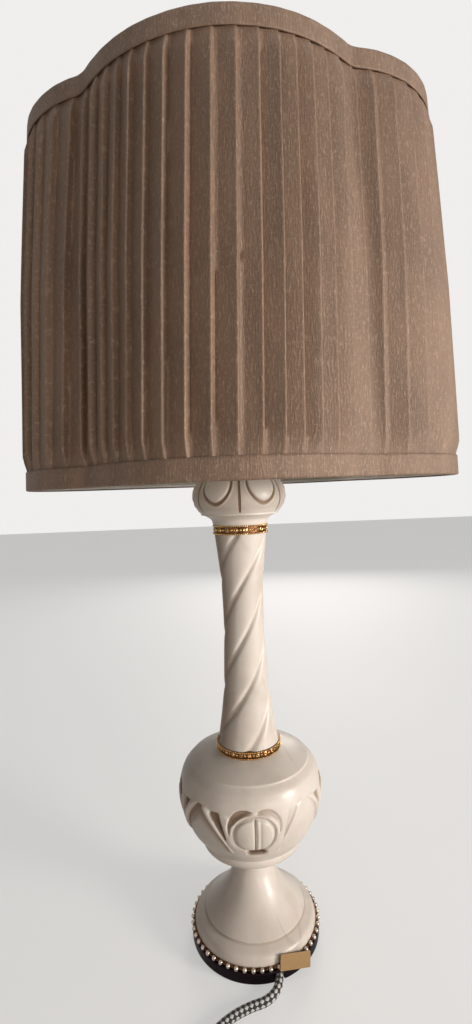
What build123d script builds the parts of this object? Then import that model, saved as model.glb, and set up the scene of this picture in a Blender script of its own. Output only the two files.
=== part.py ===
"""Column table lamp: a carved alabaster foot, vase, spiral column and capital on a
bead-edged metal base, with a harp-carried, knife-pleated shade.

Millimetres. The origin is on the surface that the lamp stands on, at the column's axis.
+Z is up and -Y is the front. Sketches on Plane.XZ hold (radius, height) profiles.
"""
from build123d import *
import math
import os

os.makedirs("parts", exist_ok=True)

# ---- fits ----
SEAT_GAP = 0.3        # curved neighbours and moving seats
THREAD_GAP = 0.05     # turned pieces on the rod or the stud
STACK_GAP = 0.2       # threaded rod in the bored stones
FINIAL_GAP = 0.7      # the finial stops short of the spider, whose arms slope up
CUT_OVERSHOOT = 1.0   # how far a cut runs past the face it opens

# ---- cord ----
CORD_DIAMETER = 7.0
CORD_RADIUS = CORD_DIAMETER / 2
CORD_EXIT_HEIGHT = 4.8
CORD_SIDE_GAP = 0.7
CORNER_SHARE = 0.45   # of a route's shorter run, given to a corner's arc
LEAD_IN_LENGTH = 18.0
LEAD_MIDDLE = (11.0, -15.0)
LEAD_RISE_START = 20.0
LEAD_BENDS = [40.0, 60.0, 9.0]

# ---- base ----
FELT_RADIUS = 59.0
FELT_THICKNESS = 1.2
BASE_RADIUS = 61.0
BASE_TOP = 9.5
BASE_WALL = 1.0
RIM_WALL = 2.0
BASE_CHAMFER = 1.0
CUP_RADIUS = 16.0
CUP_TOP = 23.0
CUP_TAPER = 1.0
NOTCH_LENGTH = 12.0
BEAD_COUNT = 50
BEAD_RADIUS = 2.1
BEAD_RING_RADIUS = 60.35
BEAD_SIDES = 8
BEAD_LIFT = 0.6         # beads over the base's top
BEAD_DEPTH_SHARE = 0.8
BEAD_TAPER = 40
STRIP_THICKNESS = 0.9
STRIP_HEIGHT = 3.6
LABEL_WIDTH = 29.0
LABEL_HEIGHT = 15.0
LABEL_THICKNESS = 0.6
LABEL_AZIMUTH = 24.0
LABEL_LEAN = 25.0
LABEL_TILT = -8.0
LABEL_ALONG = 7.5
LABEL_UP = 3.0
LABEL_CORNER = 1.0

# ---- stone foot and vase ----
FOOT_RADIUS = 58.0
FOOT_CHAMFER = 1.5
FOOT_EDGE_HEIGHT = 5.0
FOOT_EDGE_ROUND = (2.3, 3.4)      # in from the edge, down from the band's top
FOOT_BAND_TOP = 23.3
FOOT_STEP_RADIUS = 49.5
STEP_IN = 0.8
STEP_UP = 1.2
BELL_LOW = (13.5, 18.0)           # out from the neck, up from the band
BELL_HIGH = (2.5, 13.0)           # out from the neck, down from it
NECK_RADIUS = 17.5
NECK_HEIGHT = 72.0
FOOT_TOP = 87.5
FOOT_TOP_RADIUS = 24.0
COLLAR_RADIUS = 48.0
COLLAR_TOP = 98.5
COLLAR_UNDER_IN = 5.0
COLLAR_TOP_IN = 3.0
VASE_FOOT_OUT = 3.5
VASE_FOOT_UP = 1.0
VASE_RADIUS = 68.3
VASE_WIDEST = 143.0
BELLY_LOW = (4.3, 23.0)           # in from and below the widest point
BELLY_HIGH = (3.3, 15.0)          # in from and above it
SHOULDER_RADIUS = 57.5
SHOULDER_HEIGHT = 167.3
SHOULDER_STEP = (0.9, 1.5)
SHOULDER_SLOPE = (12.0, 6.0)
VASE_TOP = 177.6
VASE_TOP_RADIUS = 31.5

# ---- column ----
LOWER_RING_HEIGHT = 6.8
LOWER_RING_RADIUS = 31.0
COLUMN_HEIGHT = 199.6
COLUMN_WAIST = 303.0
COLUMN_WAIST_RADIUS = 19.6
COLUMN_FOOT_FLARE = 7.5
COLUMN_FOOT_TAPER = 2.5
COLUMN_FOOT_POWER = 3.4
COLUMN_HEAD_FLARE = 5.8
COLUMN_HEAD_POWER = 1.9
REED_COUNT = 4
REED_DEPTH = 1.7
SPIRAL_LEAD = 205.0
COLUMN_SECTIONS = 21
UPPER_RING_HEIGHT = 8.8
UPPER_RING_RADIUS = 26.4
RING_LIP = 0.6
RING_LIP_SHARE = 0.2     # of the ring's height, for each lip
RING_BEVEL_SHARE = 0.1

# ---- capital and the stack on it ----
CAPITAL_HEIGHT = 57.2
CAPITAL_RADIUS = 45.0
CAPITAL_NECK_RADIUS = 26.3
CAPITAL_TOP_RADIUS = 30.0
COVE_POINT = (1.7, 5.2)          # out from the neck, up from the ring
FILLET_INNER = (11.0, 9.4)       # in from the widest point, up from the ring
FILLET_OUTER = (7.5, 9.8)
CUSHION_FOOT = 11.4
CUSHION_LOW = (1.2, 20.0)
CUSHION_WIDEST = 26.0
CUSHION_HIGH = (4.5, 42.0)
CAP_RADIUS = 26.0
CAP_THICKNESS = 2.5
CAP_CHAMFER = 1.0
ROD_RADIUS = 5.15
ROD_BORE = 3.7
ROD_BOTTOM = 14.0
ROD_STAND_UP = 4.0       # rod above the socket's neck
WASHER_THICKNESS = 1.5
WASHER_RADIUS = 12.0
LOCK_WASHER_THICKNESS = 1.0
LOCK_WASHER_RADIUS = 8.5
NUT_ACROSS = 15.0
NUT_HEIGHT = 4.5

# ---- socket ----
SOCKET_NECK_RADIUS = 8.0
SOCKET_NECK_HEIGHT = 9.0
SOCKET_RADIUS = 19.5
SOCKET_CAP_HEIGHT = 24.0
SOCKET_SHELL_HEIGHT = 42.0
SOCKET_WALL = 0.8
SOCKET_BULGE = (3.2, 4.4)        # in from the cap's edge, up from its neck
SOCKET_FLOOR = 1.6
SLEEVE_WALL = 0.8
SLEEVE_INSET = 0.5
CORE_RADIUS = 16.6
CORE_HEIGHT = 12.0
CORE_LIFT = 2.0          # core above the shell's lower edge
SCREW_SHELL_RADIUS = 14.6
SCREW_SHELL_WALL = 0.6
SCREW_SHELL_HEIGHT = 24.0
KNOB_HEIGHT = 14.0      # above the shell's lower edge
KNOB_STEM_RADIUS = 2.0
KNOB_STEM_LENGTH = 9.0
KNOB_LENGTH = 11.0
KNOB_WIDTH = 12.0
KNOB_THICKNESS = 5.0
KNOB_CHAMFER = 1.0
STEM_SEAT_DEPTH = 4.0
STEM_GAP = 0.06

# ---- bulb ----
BULB_CAP_RADIUS = 13.2
BULB_CAP_HEIGHT = 26.0
BULB_CONTACT_RADIUS = 4.5
BULB_CONTACT_BEVEL = 2.0
BULB_CAP_SHOULDER = 4.5
BULB_LIFT = 2.0          # bulb's contact above the core
BULB_RADIUS = 30.0
BULB_HEIGHT = 92.0       # glass above its cap
BULB_WALL = 1.0
BULB_THROAT = (5.5, 22.0)        # out from and above its cap

# ---- harp ----
SADDLE_HALF_WIDTH = 28.0
SADDLE_WIDTH = 11.0
SADDLE_THICKNESS = 2.0
POST_RADIUS = 1.8
POST_HEIGHT = 14.0
HARP_WIRE_RADIUS = 1.8
HARP_HALF_WIDTH = 57.0
HARP_FOOT_STRAIGHT = 24.0         # heights above the harp's foot
HARP_SIDE_BOTTOM = 86.0
HARP_SIDE_TOP = 186.0
HARP_SHOULDER_SHARE = 0.62
HARP_SHOULDER_DROP = 34.0
HARP_BENDS = [50.0, 120.0, 130.0, 40.0]
HARP_SEAT_TOP = 753.7
HARP_SEAT_RADIUS = 9.0
HARP_SEAT_THICKNESS = 3.0
STUD_RADIUS = 3.0
STUD_LENGTH = 17.0
FERRULE_RADIUS = 3.6
FERRULE_HEIGHT = 14.0
FERRULE_CHAMFER = 0.8

# ---- shade ----
SHADE_TURN = -4.3
SHADE_BOTTOM = 433.0
SHADE_HEIGHT = 333.0
SHADE_TOP_WIDTH = 371.2
SHADE_BOTTOM_WIDTH = 399.2
TOP_CENTRE_RADIUS = 139.6
TOP_LOBE_RADIUS = 91.6
TOP_LOBE_OFFSET = SHADE_TOP_WIDTH / 2 - TOP_LOBE_RADIUS
BOTTOM_CENTRE_RADIUS = 148.6
BOTTOM_LOBE_RADIUS = 96.6
BOTTOM_LOBE_OFFSET = SHADE_BOTTOM_WIDTH / 2 - BOTTOM_LOBE_RADIUS
VALLEY_RADIUS = 27.0
SHADE_BOW = 2.5
LINER_THICKNESS = 0.8
COVER_THICKNESS = 0.7
PLEAT_COUNT = 66
PLEAT_DEPTH = 5.0
PLEAT_DEPTH_AT_TRIM = 1.0
PLEAT_RIDGE = 0.86       # where the ridge stands in its pleat
PLEAT_EASE = 16.0        # height over which a pleat opens out of its trim
TRIM_WIDTH = 16.0
TRIM_THICKNESS = 1.2
SHADE_WIRE_RADIUS = 1.5
RIB_WIRE_RADIUS = 1.35
RIB_SIDES = 4            # one rib at each side, and one in each valley
SPIDER_WASHER_RADIUS = 11.0
SPIDER_WASHER_THICKNESS = 3.0
SPIDER_ARM_INSET = 2.5

# ---- finial ----
FINIAL_HEIGHT = 33.0
FINIAL_RADIUS = 8.5
FINIAL_COLLAR = (1.5, 3.0)        # in from the ball's radius, up
FINIAL_STEM_IN = 4.0
FINIAL_STEM_BOTTOM = 5.0
FINIAL_STEM_TOP = 15.0
FINIAL_WIDEST = 21.0
FINIAL_TIP = (6.0, 3.0)           # in from the ball's radius, down

# ---- plug ----
PLUG_WIDTH = 25.0
PLUG_LENGTH = 28.0
PLUG_RELIEF_LENGTH = 24.0
PLUG_RELIEF_RADIUS = 5.4
PLUG_RELIEF_TAPER = 1.2
PLUG_NOSE_LENGTH = 8.0
PLUG_NOSE_TAPER = 6.0
PLUG_CORNER = 5.0
BLADE_WIDTH = 6.35
BLADE_THICKNESS = 1.5
BLADE_LENGTH = 17.5
BLADE_SPACING = 12.7
BLADE_CHAMFER = 0.5

# ---- coil of the spare cord ----
COIL_CENTRE_Y = -168.0
COIL_RADIUS = 51.0
COIL_PITCH = 7.5
COIL_HALF_TURNS = 7
COIL_CLIMB_INSET = 1.2
GAP_POINTS = 700

# ---- heights that follow ----
base_floor = FELT_THICKNESS
lower_ring_top = VASE_TOP + LOWER_RING_HEIGHT
column_top = lower_ring_top + COLUMN_HEIGHT
upper_ring_top = column_top + UPPER_RING_HEIGHT
capital_top = upper_ring_top + CAPITAL_HEIGHT
cap_top = capital_top + CAP_THICKNESS
cap_nut_top = cap_top + NUT_HEIGHT
saddle_top = cap_nut_top + SADDLE_THICKNESS
socket_neck_top = saddle_top + SOCKET_NECK_HEIGHT
shell_bottom = saddle_top + SOCKET_CAP_HEIGHT
rod_top = socket_neck_top + ROD_STAND_UP
core_bottom = shell_bottom + CORE_LIFT
core_top = core_bottom + CORE_HEIGHT
bulb_cap_bottom = core_top + BULB_LIFT
bulb_cap_top = bulb_cap_bottom + BULB_CAP_HEIGHT
bulb_top = bulb_cap_top + BULB_HEIGHT
rod_clearance = ROD_RADIUS + STACK_GAP
threaded_bore = ROD_RADIUS + THREAD_GAP
shade_top = SHADE_BOTTOM + SHADE_HEIGHT
washer_bottom = HARP_SEAT_TOP + SEAT_GAP
washer_top = washer_bottom + SPIDER_WASHER_THICKNESS
finial_bottom = washer_top + FINIAL_GAP


def polar(radius, degrees, centre=(0.0, 0.0)):
    """A point at a distance and an angle from a centre, in the XY plane."""
    turn = math.radians(degrees)
    return (centre[0] + radius * math.cos(turn), centre[1] + radius * math.sin(turn))


# ================= base =================
bead_height = BASE_TOP + BEAD_LIFT
strip_inner = FOOT_RADIUS + SEAT_GAP

# The free cord's route, chosen by hand: out of the notch, forward, round to the left
# and back to the coil, which it enters at its left side.
CORD_ROUTE = [
    (19.1, -52.5, CORD_EXIT_HEIGHT),
    (18.5, -63.0, CORD_EXIT_HEIGHT),
    (13.6, -72.3, 3.9),
    (5.2, -78.6, CORD_RADIUS),
    (-6.4, -81.7, CORD_RADIUS),
    (-22.0, -89.0, CORD_RADIUS),
    (-37.0, -101.0, CORD_RADIUS),
    (-47.0, -118.0, CORD_RADIUS),
    (-COIL_RADIUS, -139.0, CORD_RADIUS),
    (-COIL_RADIUS, COIL_CENTRE_Y + CORD_DIAMETER, CORD_RADIUS),
]
cord_exit = Vector(*CORD_ROUTE[0])
exit_way = (Vector(*CORD_ROUTE[1]) - cord_exit).normalized()

with BuildPart() as felt_pad:
    with BuildSketch():
        Circle(FELT_RADIUS)
    extrude(amount=FELT_THICKNESS)

with BuildPart() as base_plate:
    with BuildSketch(Plane.XZ):
        with BuildLine():
            Polyline(
                (BASE_RADIUS - RIM_WALL, base_floor),
                (BASE_RADIUS, base_floor),
                (BASE_RADIUS, BASE_TOP - BASE_CHAMFER),
                (BASE_RADIUS - BASE_CHAMFER, BASE_TOP),
                (CUP_RADIUS, BASE_TOP),
                (CUP_RADIUS - CUP_TAPER, CUP_TOP),
                (threaded_bore, CUP_TOP),
                (threaded_bore, CUP_TOP - BASE_WALL),
                (CUP_RADIUS - CUP_TAPER - BASE_WALL, CUP_TOP - BASE_WALL),
                (CUP_RADIUS - BASE_WALL, BASE_TOP - BASE_WALL),
                (BASE_RADIUS - RIM_WALL, BASE_TOP - BASE_WALL),
                close=True,
            )
        make_face()
    revolve(axis=Axis.Z)
    # the notch that the cord leaves by, open to the pad below
    notch = Plane(
        origin=(cord_exit.X, cord_exit.Y, base_floor), x_dir=(0, 0, 1), z_dir=exit_way
    )
    with BuildSketch(notch):
        Rectangle(
            2 * (BASE_TOP - BASE_WALL - base_floor), CORD_DIAMETER + 2 * CORD_SIDE_GAP
        )
    extrude(amount=NOTCH_LENGTH, mode=Mode.SUBTRACT)

with BuildPart() as bead:
    for way in (1, -1):
        with BuildSketch(Plane(origin=(0, 0, 0), z_dir=(way, 0, 0))):
            RegularPolygon(BEAD_RADIUS, BEAD_SIDES)
        extrude(amount=BEAD_RADIUS * BEAD_DEPTH_SHARE, taper=BEAD_TAPER)

with BuildPart() as bead_ring:
    with BuildSketch(Plane.XY.offset(BASE_TOP)):
        Circle(strip_inner + STRIP_THICKNESS)
        Circle(strip_inner, mode=Mode.SUBTRACT)
    extrude(amount=STRIP_HEIGHT)
    with Locations((0, 0, bead_height + BEAD_RADIUS)):
        with PolarLocations(BEAD_RING_RADIUS, BEAD_COUNT):
            add(bead.part)

label_out = Vector(
    math.sin(math.radians(LABEL_AZIMUTH)), -math.cos(math.radians(LABEL_AZIMUTH)), 0
)
label_normal = label_out * math.cos(math.radians(LABEL_LEAN)) + Vector(
    0, 0, math.sin(math.radians(LABEL_LEAN))
)
label_seat = (
    label_out * BEAD_RING_RADIUS
    + Vector(0, 0, bead_height + BEAD_RADIUS)
    + label_normal * (BEAD_RADIUS + SEAT_GAP)
)
label_plane = Plane(
    origin=label_seat, x_dir=Vector(-label_out.Y, label_out.X, 0), z_dir=label_normal
)
with BuildPart() as name_plate:
    with BuildSketch(label_plane):
        with Locations((LABEL_ALONG, LABEL_UP)):
            Rectangle(LABEL_WIDTH, LABEL_HEIGHT, rotation=LABEL_TILT)
    extrude(amount=LABEL_THICKNESS)
    fillet(name_plate.edges().filter_by(Axis(label_seat, label_normal)), LABEL_CORNER)


# ================= stones =================
counterbore_radius = CUP_RADIUS + SEAT_GAP
with BuildPart() as foot:
    with BuildSketch(Plane.XZ):
        with BuildLine():
            Polyline(
                (FOOT_TOP_RADIUS, FOOT_TOP),
                (rod_clearance, FOOT_TOP),
                (rod_clearance, CUP_TOP),
                (counterbore_radius, CUP_TOP),
                (counterbore_radius, BASE_TOP),
                (FOOT_RADIUS - FOOT_CHAMFER, BASE_TOP),
                (FOOT_RADIUS, BASE_TOP + FOOT_CHAMFER),
                (FOOT_RADIUS, BASE_TOP + FOOT_EDGE_HEIGHT),
            )
            ThreePointArc(
                (FOOT_RADIUS, BASE_TOP + FOOT_EDGE_HEIGHT),
                (FOOT_RADIUS - FOOT_EDGE_ROUND[0], FOOT_BAND_TOP - FOOT_EDGE_ROUND[1]),
                (FOOT_STEP_RADIUS, FOOT_BAND_TOP),
            )
            Line(
                (FOOT_STEP_RADIUS, FOOT_BAND_TOP),
                (FOOT_STEP_RADIUS - STEP_IN, FOOT_BAND_TOP + STEP_UP),
            )
            Spline(
                (FOOT_STEP_RADIUS - STEP_IN, FOOT_BAND_TOP + STEP_UP),
                (NECK_RADIUS + BELL_LOW[0], FOOT_BAND_TOP + BELL_LOW[1]),
                (NECK_RADIUS + BELL_HIGH[0], NECK_HEIGHT - BELL_HIGH[1]),
                (NECK_RADIUS, NECK_HEIGHT),
                (FOOT_TOP_RADIUS, FOOT_TOP),
                tangents=[(-1.0, 0.30), (1.0, 1.0)],
            )
        make_face()
    revolve(axis=Axis.Z)

collar_middle = (FOOT_TOP + COLLAR_TOP) / 2
with BuildPart() as vase:
    with BuildSketch(Plane.XZ):
        with BuildLine():
            Polyline(
                (VASE_TOP_RADIUS, VASE_TOP),
                (rod_clearance, VASE_TOP),
                (rod_clearance, FOOT_TOP),
                (COLLAR_RADIUS - COLLAR_UNDER_IN, FOOT_TOP),
            )
            ThreePointArc(
                (COLLAR_RADIUS - COLLAR_UNDER_IN, FOOT_TOP),
                (COLLAR_RADIUS, collar_middle),
                (COLLAR_RADIUS - COLLAR_TOP_IN, COLLAR_TOP),
            )
            Line(
                (COLLAR_RADIUS - COLLAR_TOP_IN, COLLAR_TOP),
                (COLLAR_RADIUS + VASE_FOOT_OUT, COLLAR_TOP + VASE_FOOT_UP),
            )
            Spline(
                (COLLAR_RADIUS + VASE_FOOT_OUT, COLLAR_TOP + VASE_FOOT_UP),
                (VASE_RADIUS - BELLY_LOW[0], VASE_WIDEST - BELLY_LOW[1]),
                (VASE_RADIUS, VASE_WIDEST),
                (VASE_RADIUS - BELLY_HIGH[0], VASE_WIDEST + BELLY_HIGH[1]),
                (SHOULDER_RADIUS, SHOULDER_HEIGHT),
            )
            Line(
                (SHOULDER_RADIUS, SHOULDER_HEIGHT),
                (SHOULDER_RADIUS - SHOULDER_STEP[0], SHOULDER_HEIGHT + SHOULDER_STEP[1]),
            )
            Spline(
                (SHOULDER_RADIUS - SHOULDER_STEP[0], SHOULDER_HEIGHT + SHOULDER_STEP[1]),
                (SHOULDER_RADIUS - SHOULDER_SLOPE[0], SHOULDER_HEIGHT + SHOULDER_SLOPE[1]),
                (VASE_TOP_RADIUS, VASE_TOP),
            )
        make_face()
    revolve(axis=Axis.Z)


def banded_ring(radius, bottom, height):
    """A turned brass ring with a lip at its top and bottom edge."""
    hollow = RING_LIP_SHARE + RING_BEVEL_SHARE
    with BuildPart() as ring:
        with BuildSketch(Plane.XZ):
            with BuildLine():
                Polyline(
                    (rod_clearance, bottom),
                    (radius, bottom),
                    (radius, bottom + height * RING_LIP_SHARE),
                    (radius - RING_LIP, bottom + height * hollow),
                    (radius - RING_LIP, bottom + height * (1 - hollow)),
                    (radius, bottom + height * (1 - RING_LIP_SHARE)),
                    (radius, bottom + height),
                    (rod_clearance, bottom + height),
                    close=True,
                )
            make_face()
        revolve(axis=Axis.Z)
    return ring


lower_ring = banded_ring(LOWER_RING_RADIUS, VASE_TOP, LOWER_RING_HEIGHT)
upper_ring = banded_ring(UPPER_RING_RADIUS, column_top, UPPER_RING_HEIGHT)


def column_radius(height):
    """The column's radius over its reeds: flared at its foot, waisted, flared again."""
    if height < COLUMN_WAIST:
        share = (COLUMN_WAIST - height) / (COLUMN_WAIST - lower_ring_top)
        flare = COLUMN_FOOT_FLARE * share**COLUMN_FOOT_POWER
        return COLUMN_WAIST_RADIUS + flare + COLUMN_FOOT_TAPER * share
    share = (height - COLUMN_WAIST) / (column_top - COLUMN_WAIST)
    return COLUMN_WAIST_RADIUS + COLUMN_HEAD_FLARE * share**COLUMN_HEAD_POWER


with BuildPart() as spiral_column:
    for number in range(COLUMN_SECTIONS):
        level = lower_ring_top + COLUMN_HEIGHT * number / (COLUMN_SECTIONS - 1)
        crest = column_radius(level)
        lead_in = 360.0 * (level - lower_ring_top) / SPIRAL_LEAD
        with BuildSketch(Plane.XY.offset(level)):
            with BuildLine():
                for reed in range(REED_COUNT):
                    start = lead_in + 360.0 * reed / REED_COUNT
                    half = 180.0 / REED_COUNT
                    ThreePointArc(
                        polar(crest - REED_DEPTH, start),
                        polar(crest, start + half),
                        polar(crest - REED_DEPTH, start + 2 * half),
                    )
            make_face()
    loft()
    with BuildSketch(Plane.XY.offset(lower_ring_top)):
        Circle(rod_clearance)
    extrude(amount=COLUMN_HEIGHT, mode=Mode.SUBTRACT)

with BuildPart() as capital:
    with BuildSketch(Plane.XZ):
        with BuildLine():
            Polyline(
                (CAPITAL_TOP_RADIUS, capital_top),
                (rod_clearance, capital_top),
                (rod_clearance, upper_ring_top),
                (CAPITAL_NECK_RADIUS, upper_ring_top),
            )
            Spline(
                (CAPITAL_NECK_RADIUS, upper_ring_top),
                (CAPITAL_NECK_RADIUS + COVE_POINT[0], upper_ring_top + COVE_POINT[1]),
                (CAPITAL_RADIUS - FILLET_INNER[0], upper_ring_top + FILLET_INNER[1]),
            )
            Polyline(
                (CAPITAL_RADIUS - FILLET_INNER[0], upper_ring_top + FILLET_INNER[1]),
                (CAPITAL_RADIUS - FILLET_OUTER[0], upper_ring_top + FILLET_OUTER[1]),
                (CAPITAL_RADIUS - FILLET_OUTER[0], upper_ring_top + CUSHION_FOOT),
            )
            Spline(
                (CAPITAL_RADIUS - FILLET_OUTER[0], upper_ring_top + CUSHION_FOOT),
                (CAPITAL_RADIUS - CUSHION_LOW[0], upper_ring_top + CUSHION_LOW[1]),
                (CAPITAL_RADIUS, upper_ring_top + CUSHION_WIDEST),
                (CAPITAL_RADIUS - CUSHION_HIGH[0], upper_ring_top + CUSHION_HIGH[1]),
                (CAPITAL_TOP_RADIUS, capital_top),
            )
        make_face()
    revolve(axis=Axis.Z)

with BuildPart() as capital_cap:
    with BuildSketch(Plane.XY.offset(capital_top)):
        Circle(CAP_RADIUS)
        Circle(threaded_bore, mode=Mode.SUBTRACT)
    extrude(amount=CAP_THICKNESS)
    chamfer(capital_cap.edges().group_by(Axis.Z)[-1].sort_by(SortBy.LENGTH)[-1], CAP_CHAMFER)

# ================= rod and its fasteners =================
with BuildPart() as threaded_rod:
    with BuildSketch(Plane.XY.offset(ROD_BOTTOM)):
        Circle(ROD_RADIUS)
        Circle(ROD_BORE, mode=Mode.SUBTRACT)
    extrude(amount=rod_top - ROD_BOTTOM)


def flat_washer(radius, bottom, thickness):
    """A flat ring on the threaded rod."""
    with BuildPart() as washer:
        with BuildSketch(Plane.XY.offset(bottom)):
            Circle(radius)
            Circle(threaded_bore, mode=Mode.SUBTRACT)
        extrude(amount=thickness)
    return washer


def hexagon_nut(bottom):
    """A hexagonal nut on the threaded rod."""
    with BuildPart() as nut:
        with BuildSketch(Plane.XY.offset(bottom)):
            RegularPolygon(NUT_ACROSS / 2, 6, major_radius=False)
            Circle(threaded_bore, mode=Mode.SUBTRACT)
        extrude(amount=NUT_HEIGHT)
    return nut


washer_seat = CUP_TOP - BASE_WALL
base_washer = flat_washer(WASHER_RADIUS, washer_seat - WASHER_THICKNESS, WASHER_THICKNESS)
lock_washer_bottom = washer_seat - WASHER_THICKNESS - LOCK_WASHER_THICKNESS
lock_washer = flat_washer(LOCK_WASHER_RADIUS, lock_washer_bottom, LOCK_WASHER_THICKNESS)
base_nut = hexagon_nut(lock_washer_bottom - NUT_HEIGHT)
column_nut = hexagon_nut(cap_top)

# ================= harp =================
with BuildPart() as harp_saddle:
    with BuildSketch(Plane.XY.offset(cap_nut_top)):
        SlotCenterToCenter(2 * SADDLE_HALF_WIDTH, SADDLE_WIDTH)
        Circle(threaded_bore, mode=Mode.SUBTRACT)
    extrude(amount=SADDLE_THICKNESS)
    with BuildSketch(Plane.XY.offset(saddle_top)):
        with Locations((SADDLE_HALF_WIDTH, 0), (-SADDLE_HALF_WIDTH, 0)):
            Circle(POST_RADIUS)
    extrude(amount=POST_HEIGHT)

harp_foot = saddle_top + POST_HEIGHT
harp_seat_bottom = HARP_SEAT_TOP - HARP_SEAT_THICKNESS
harp_arch = harp_seat_bottom + HARP_SEAT_THICKNESS / 2
with BuildPart() as harp:
    for side in (1, -1):
        with BuildLine(Plane.XZ) as harp_leg:
            FilletPolyline(
                (side * SADDLE_HALF_WIDTH, harp_foot),
                (side * SADDLE_HALF_WIDTH, harp_foot + HARP_FOOT_STRAIGHT),
                (side * HARP_HALF_WIDTH, harp_foot + HARP_SIDE_BOTTOM),
                (side * HARP_HALF_WIDTH, harp_foot + HARP_SIDE_TOP),
                (side * HARP_HALF_WIDTH * HARP_SHOULDER_SHARE, harp_arch - HARP_SHOULDER_DROP),
                (side * HARP_SEAT_RADIUS / 2, harp_arch),
                radius=HARP_BENDS,
            )
        with BuildSketch(Plane(origin=harp_leg.line @ 0, z_dir=harp_leg.line % 0)):
            Circle(HARP_WIRE_RADIUS)
        sweep(path=harp_leg.line)
    with BuildSketch(Plane.XY.offset(harp_seat_bottom)):
        Circle(HARP_SEAT_RADIUS)
    extrude(amount=HARP_SEAT_THICKNESS)
    with BuildSketch(Plane.XY.offset(HARP_SEAT_TOP)):
        Circle(STUD_RADIUS)
    extrude(amount=STUD_LENGTH)


def ferrule(side):
    """A sleeve that locks the harp's foot on its post, and lifts to free it."""
    with BuildPart() as sleeve:
        with BuildSketch(Plane.XY.offset(saddle_top + SEAT_GAP)):
            with Locations((side * SADDLE_HALF_WIDTH, 0)):
                Circle(FERRULE_RADIUS)
                Circle(HARP_WIRE_RADIUS + THREAD_GAP, mode=Mode.SUBTRACT)
        extrude(amount=FERRULE_HEIGHT)
        chamfer(sleeve.faces().sort_by(Axis.Z)[-1].outer_wire().edges(), FERRULE_CHAMFER)
    return sleeve


ferrule_right = ferrule(1)
ferrule_left = ferrule(-1)

# ================= socket =================
bulge_in, bulge_up = SOCKET_BULGE
with BuildPart() as socket_cap:
    with BuildSketch(Plane.XZ):
        with BuildLine():
            Polyline(
                (threaded_bore, saddle_top),
                (SOCKET_NECK_RADIUS, saddle_top),
                (SOCKET_NECK_RADIUS, socket_neck_top),
            )
            ThreePointArc(
                (SOCKET_NECK_RADIUS, socket_neck_top),
                (SOCKET_RADIUS - bulge_in, socket_neck_top + bulge_up),
                (SOCKET_RADIUS, shell_bottom),
            )
            Polyline(
                (SOCKET_RADIUS, shell_bottom),
                (SOCKET_RADIUS - SOCKET_WALL, shell_bottom),
            )
            ThreePointArc(
                (SOCKET_RADIUS - SOCKET_WALL, shell_bottom),
                (SOCKET_RADIUS - bulge_in - SOCKET_WALL, socket_neck_top + bulge_up + SOCKET_WALL),
                (SOCKET_NECK_RADIUS, socket_neck_top + SOCKET_FLOOR),
            )
            Polyline(
                (SOCKET_NECK_RADIUS, socket_neck_top + SOCKET_FLOOR),
                (threaded_bore, socket_neck_top + SOCKET_FLOOR),
                (threaded_bore, saddle_top),
            )
        make_face()
    revolve(axis=Axis.Z)

knob_level = shell_bottom + KNOB_HEIGHT
knob_axis = Plane(origin=(0, 0, knob_level), z_dir=(0, -1, 0))
stem_hole = KNOB_STEM_RADIUS + STEM_GAP
sleeve_radius = SOCKET_RADIUS - SOCKET_WALL - SEAT_GAP
with BuildPart() as socket_shell:
    with BuildSketch(Plane.XY.offset(shell_bottom)):
        Circle(SOCKET_RADIUS)
        Circle(SOCKET_RADIUS - SOCKET_WALL, mode=Mode.SUBTRACT)
    extrude(amount=SOCKET_SHELL_HEIGHT)
    with BuildSketch(knob_axis):
        Circle(stem_hole)
    extrude(amount=SOCKET_RADIUS + CUT_OVERSHOOT, mode=Mode.SUBTRACT)

with BuildPart() as insulating_sleeve:
    with BuildSketch(Plane.XY.offset(shell_bottom + SLEEVE_INSET)):
        Circle(sleeve_radius)
        Circle(sleeve_radius - SLEEVE_WALL, mode=Mode.SUBTRACT)
    extrude(amount=SOCKET_SHELL_HEIGHT - 2 * SLEEVE_INSET)
    with BuildSketch(knob_axis):
        Circle(stem_hole + SEAT_GAP)
    extrude(amount=SOCKET_RADIUS, mode=Mode.SUBTRACT)

stem_end = CORE_RADIUS - STEM_SEAT_DEPTH
with BuildPart() as socket_core:
    with BuildSketch(Plane.XY.offset(core_bottom)):
        Circle(CORE_RADIUS)
    extrude(amount=CORE_HEIGHT)
    with BuildSketch(Plane.XY.offset(core_bottom)):
        Circle(threaded_bore)
    extrude(amount=CORE_HEIGHT / 3, mode=Mode.SUBTRACT)
    # the bore that the switch stem turns in
    with BuildSketch(knob_axis.offset(stem_end - SEAT_GAP)):
        Circle(stem_hole)
    extrude(amount=CORE_RADIUS, mode=Mode.SUBTRACT)

with BuildPart() as screw_shell:
    with BuildSketch(Plane.XY.offset(core_top)):
        Circle(SCREW_SHELL_RADIUS)
        Circle(SCREW_SHELL_RADIUS - SCREW_SHELL_WALL, mode=Mode.SUBTRACT)
    extrude(amount=SCREW_SHELL_HEIGHT)
    with BuildSketch(knob_axis):
        Circle(stem_hole + SEAT_GAP)
    extrude(amount=SOCKET_RADIUS, mode=Mode.SUBTRACT)

stem_out = SOCKET_RADIUS + KNOB_STEM_LENGTH
with BuildPart() as switch_knob:
    with BuildSketch(knob_axis.offset(stem_end)):
        Circle(KNOB_STEM_RADIUS)
    extrude(amount=stem_out - stem_end)
    with BuildSketch(knob_axis.offset(stem_out)):
        SlotCenterToCenter(KNOB_WIDTH - KNOB_THICKNESS, KNOB_THICKNESS)
    extrude(amount=KNOB_LENGTH)
    chamfer(switch_knob.faces().sort_by(Axis.Y)[0].outer_wire().edges(), KNOB_CHAMFER)

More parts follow.
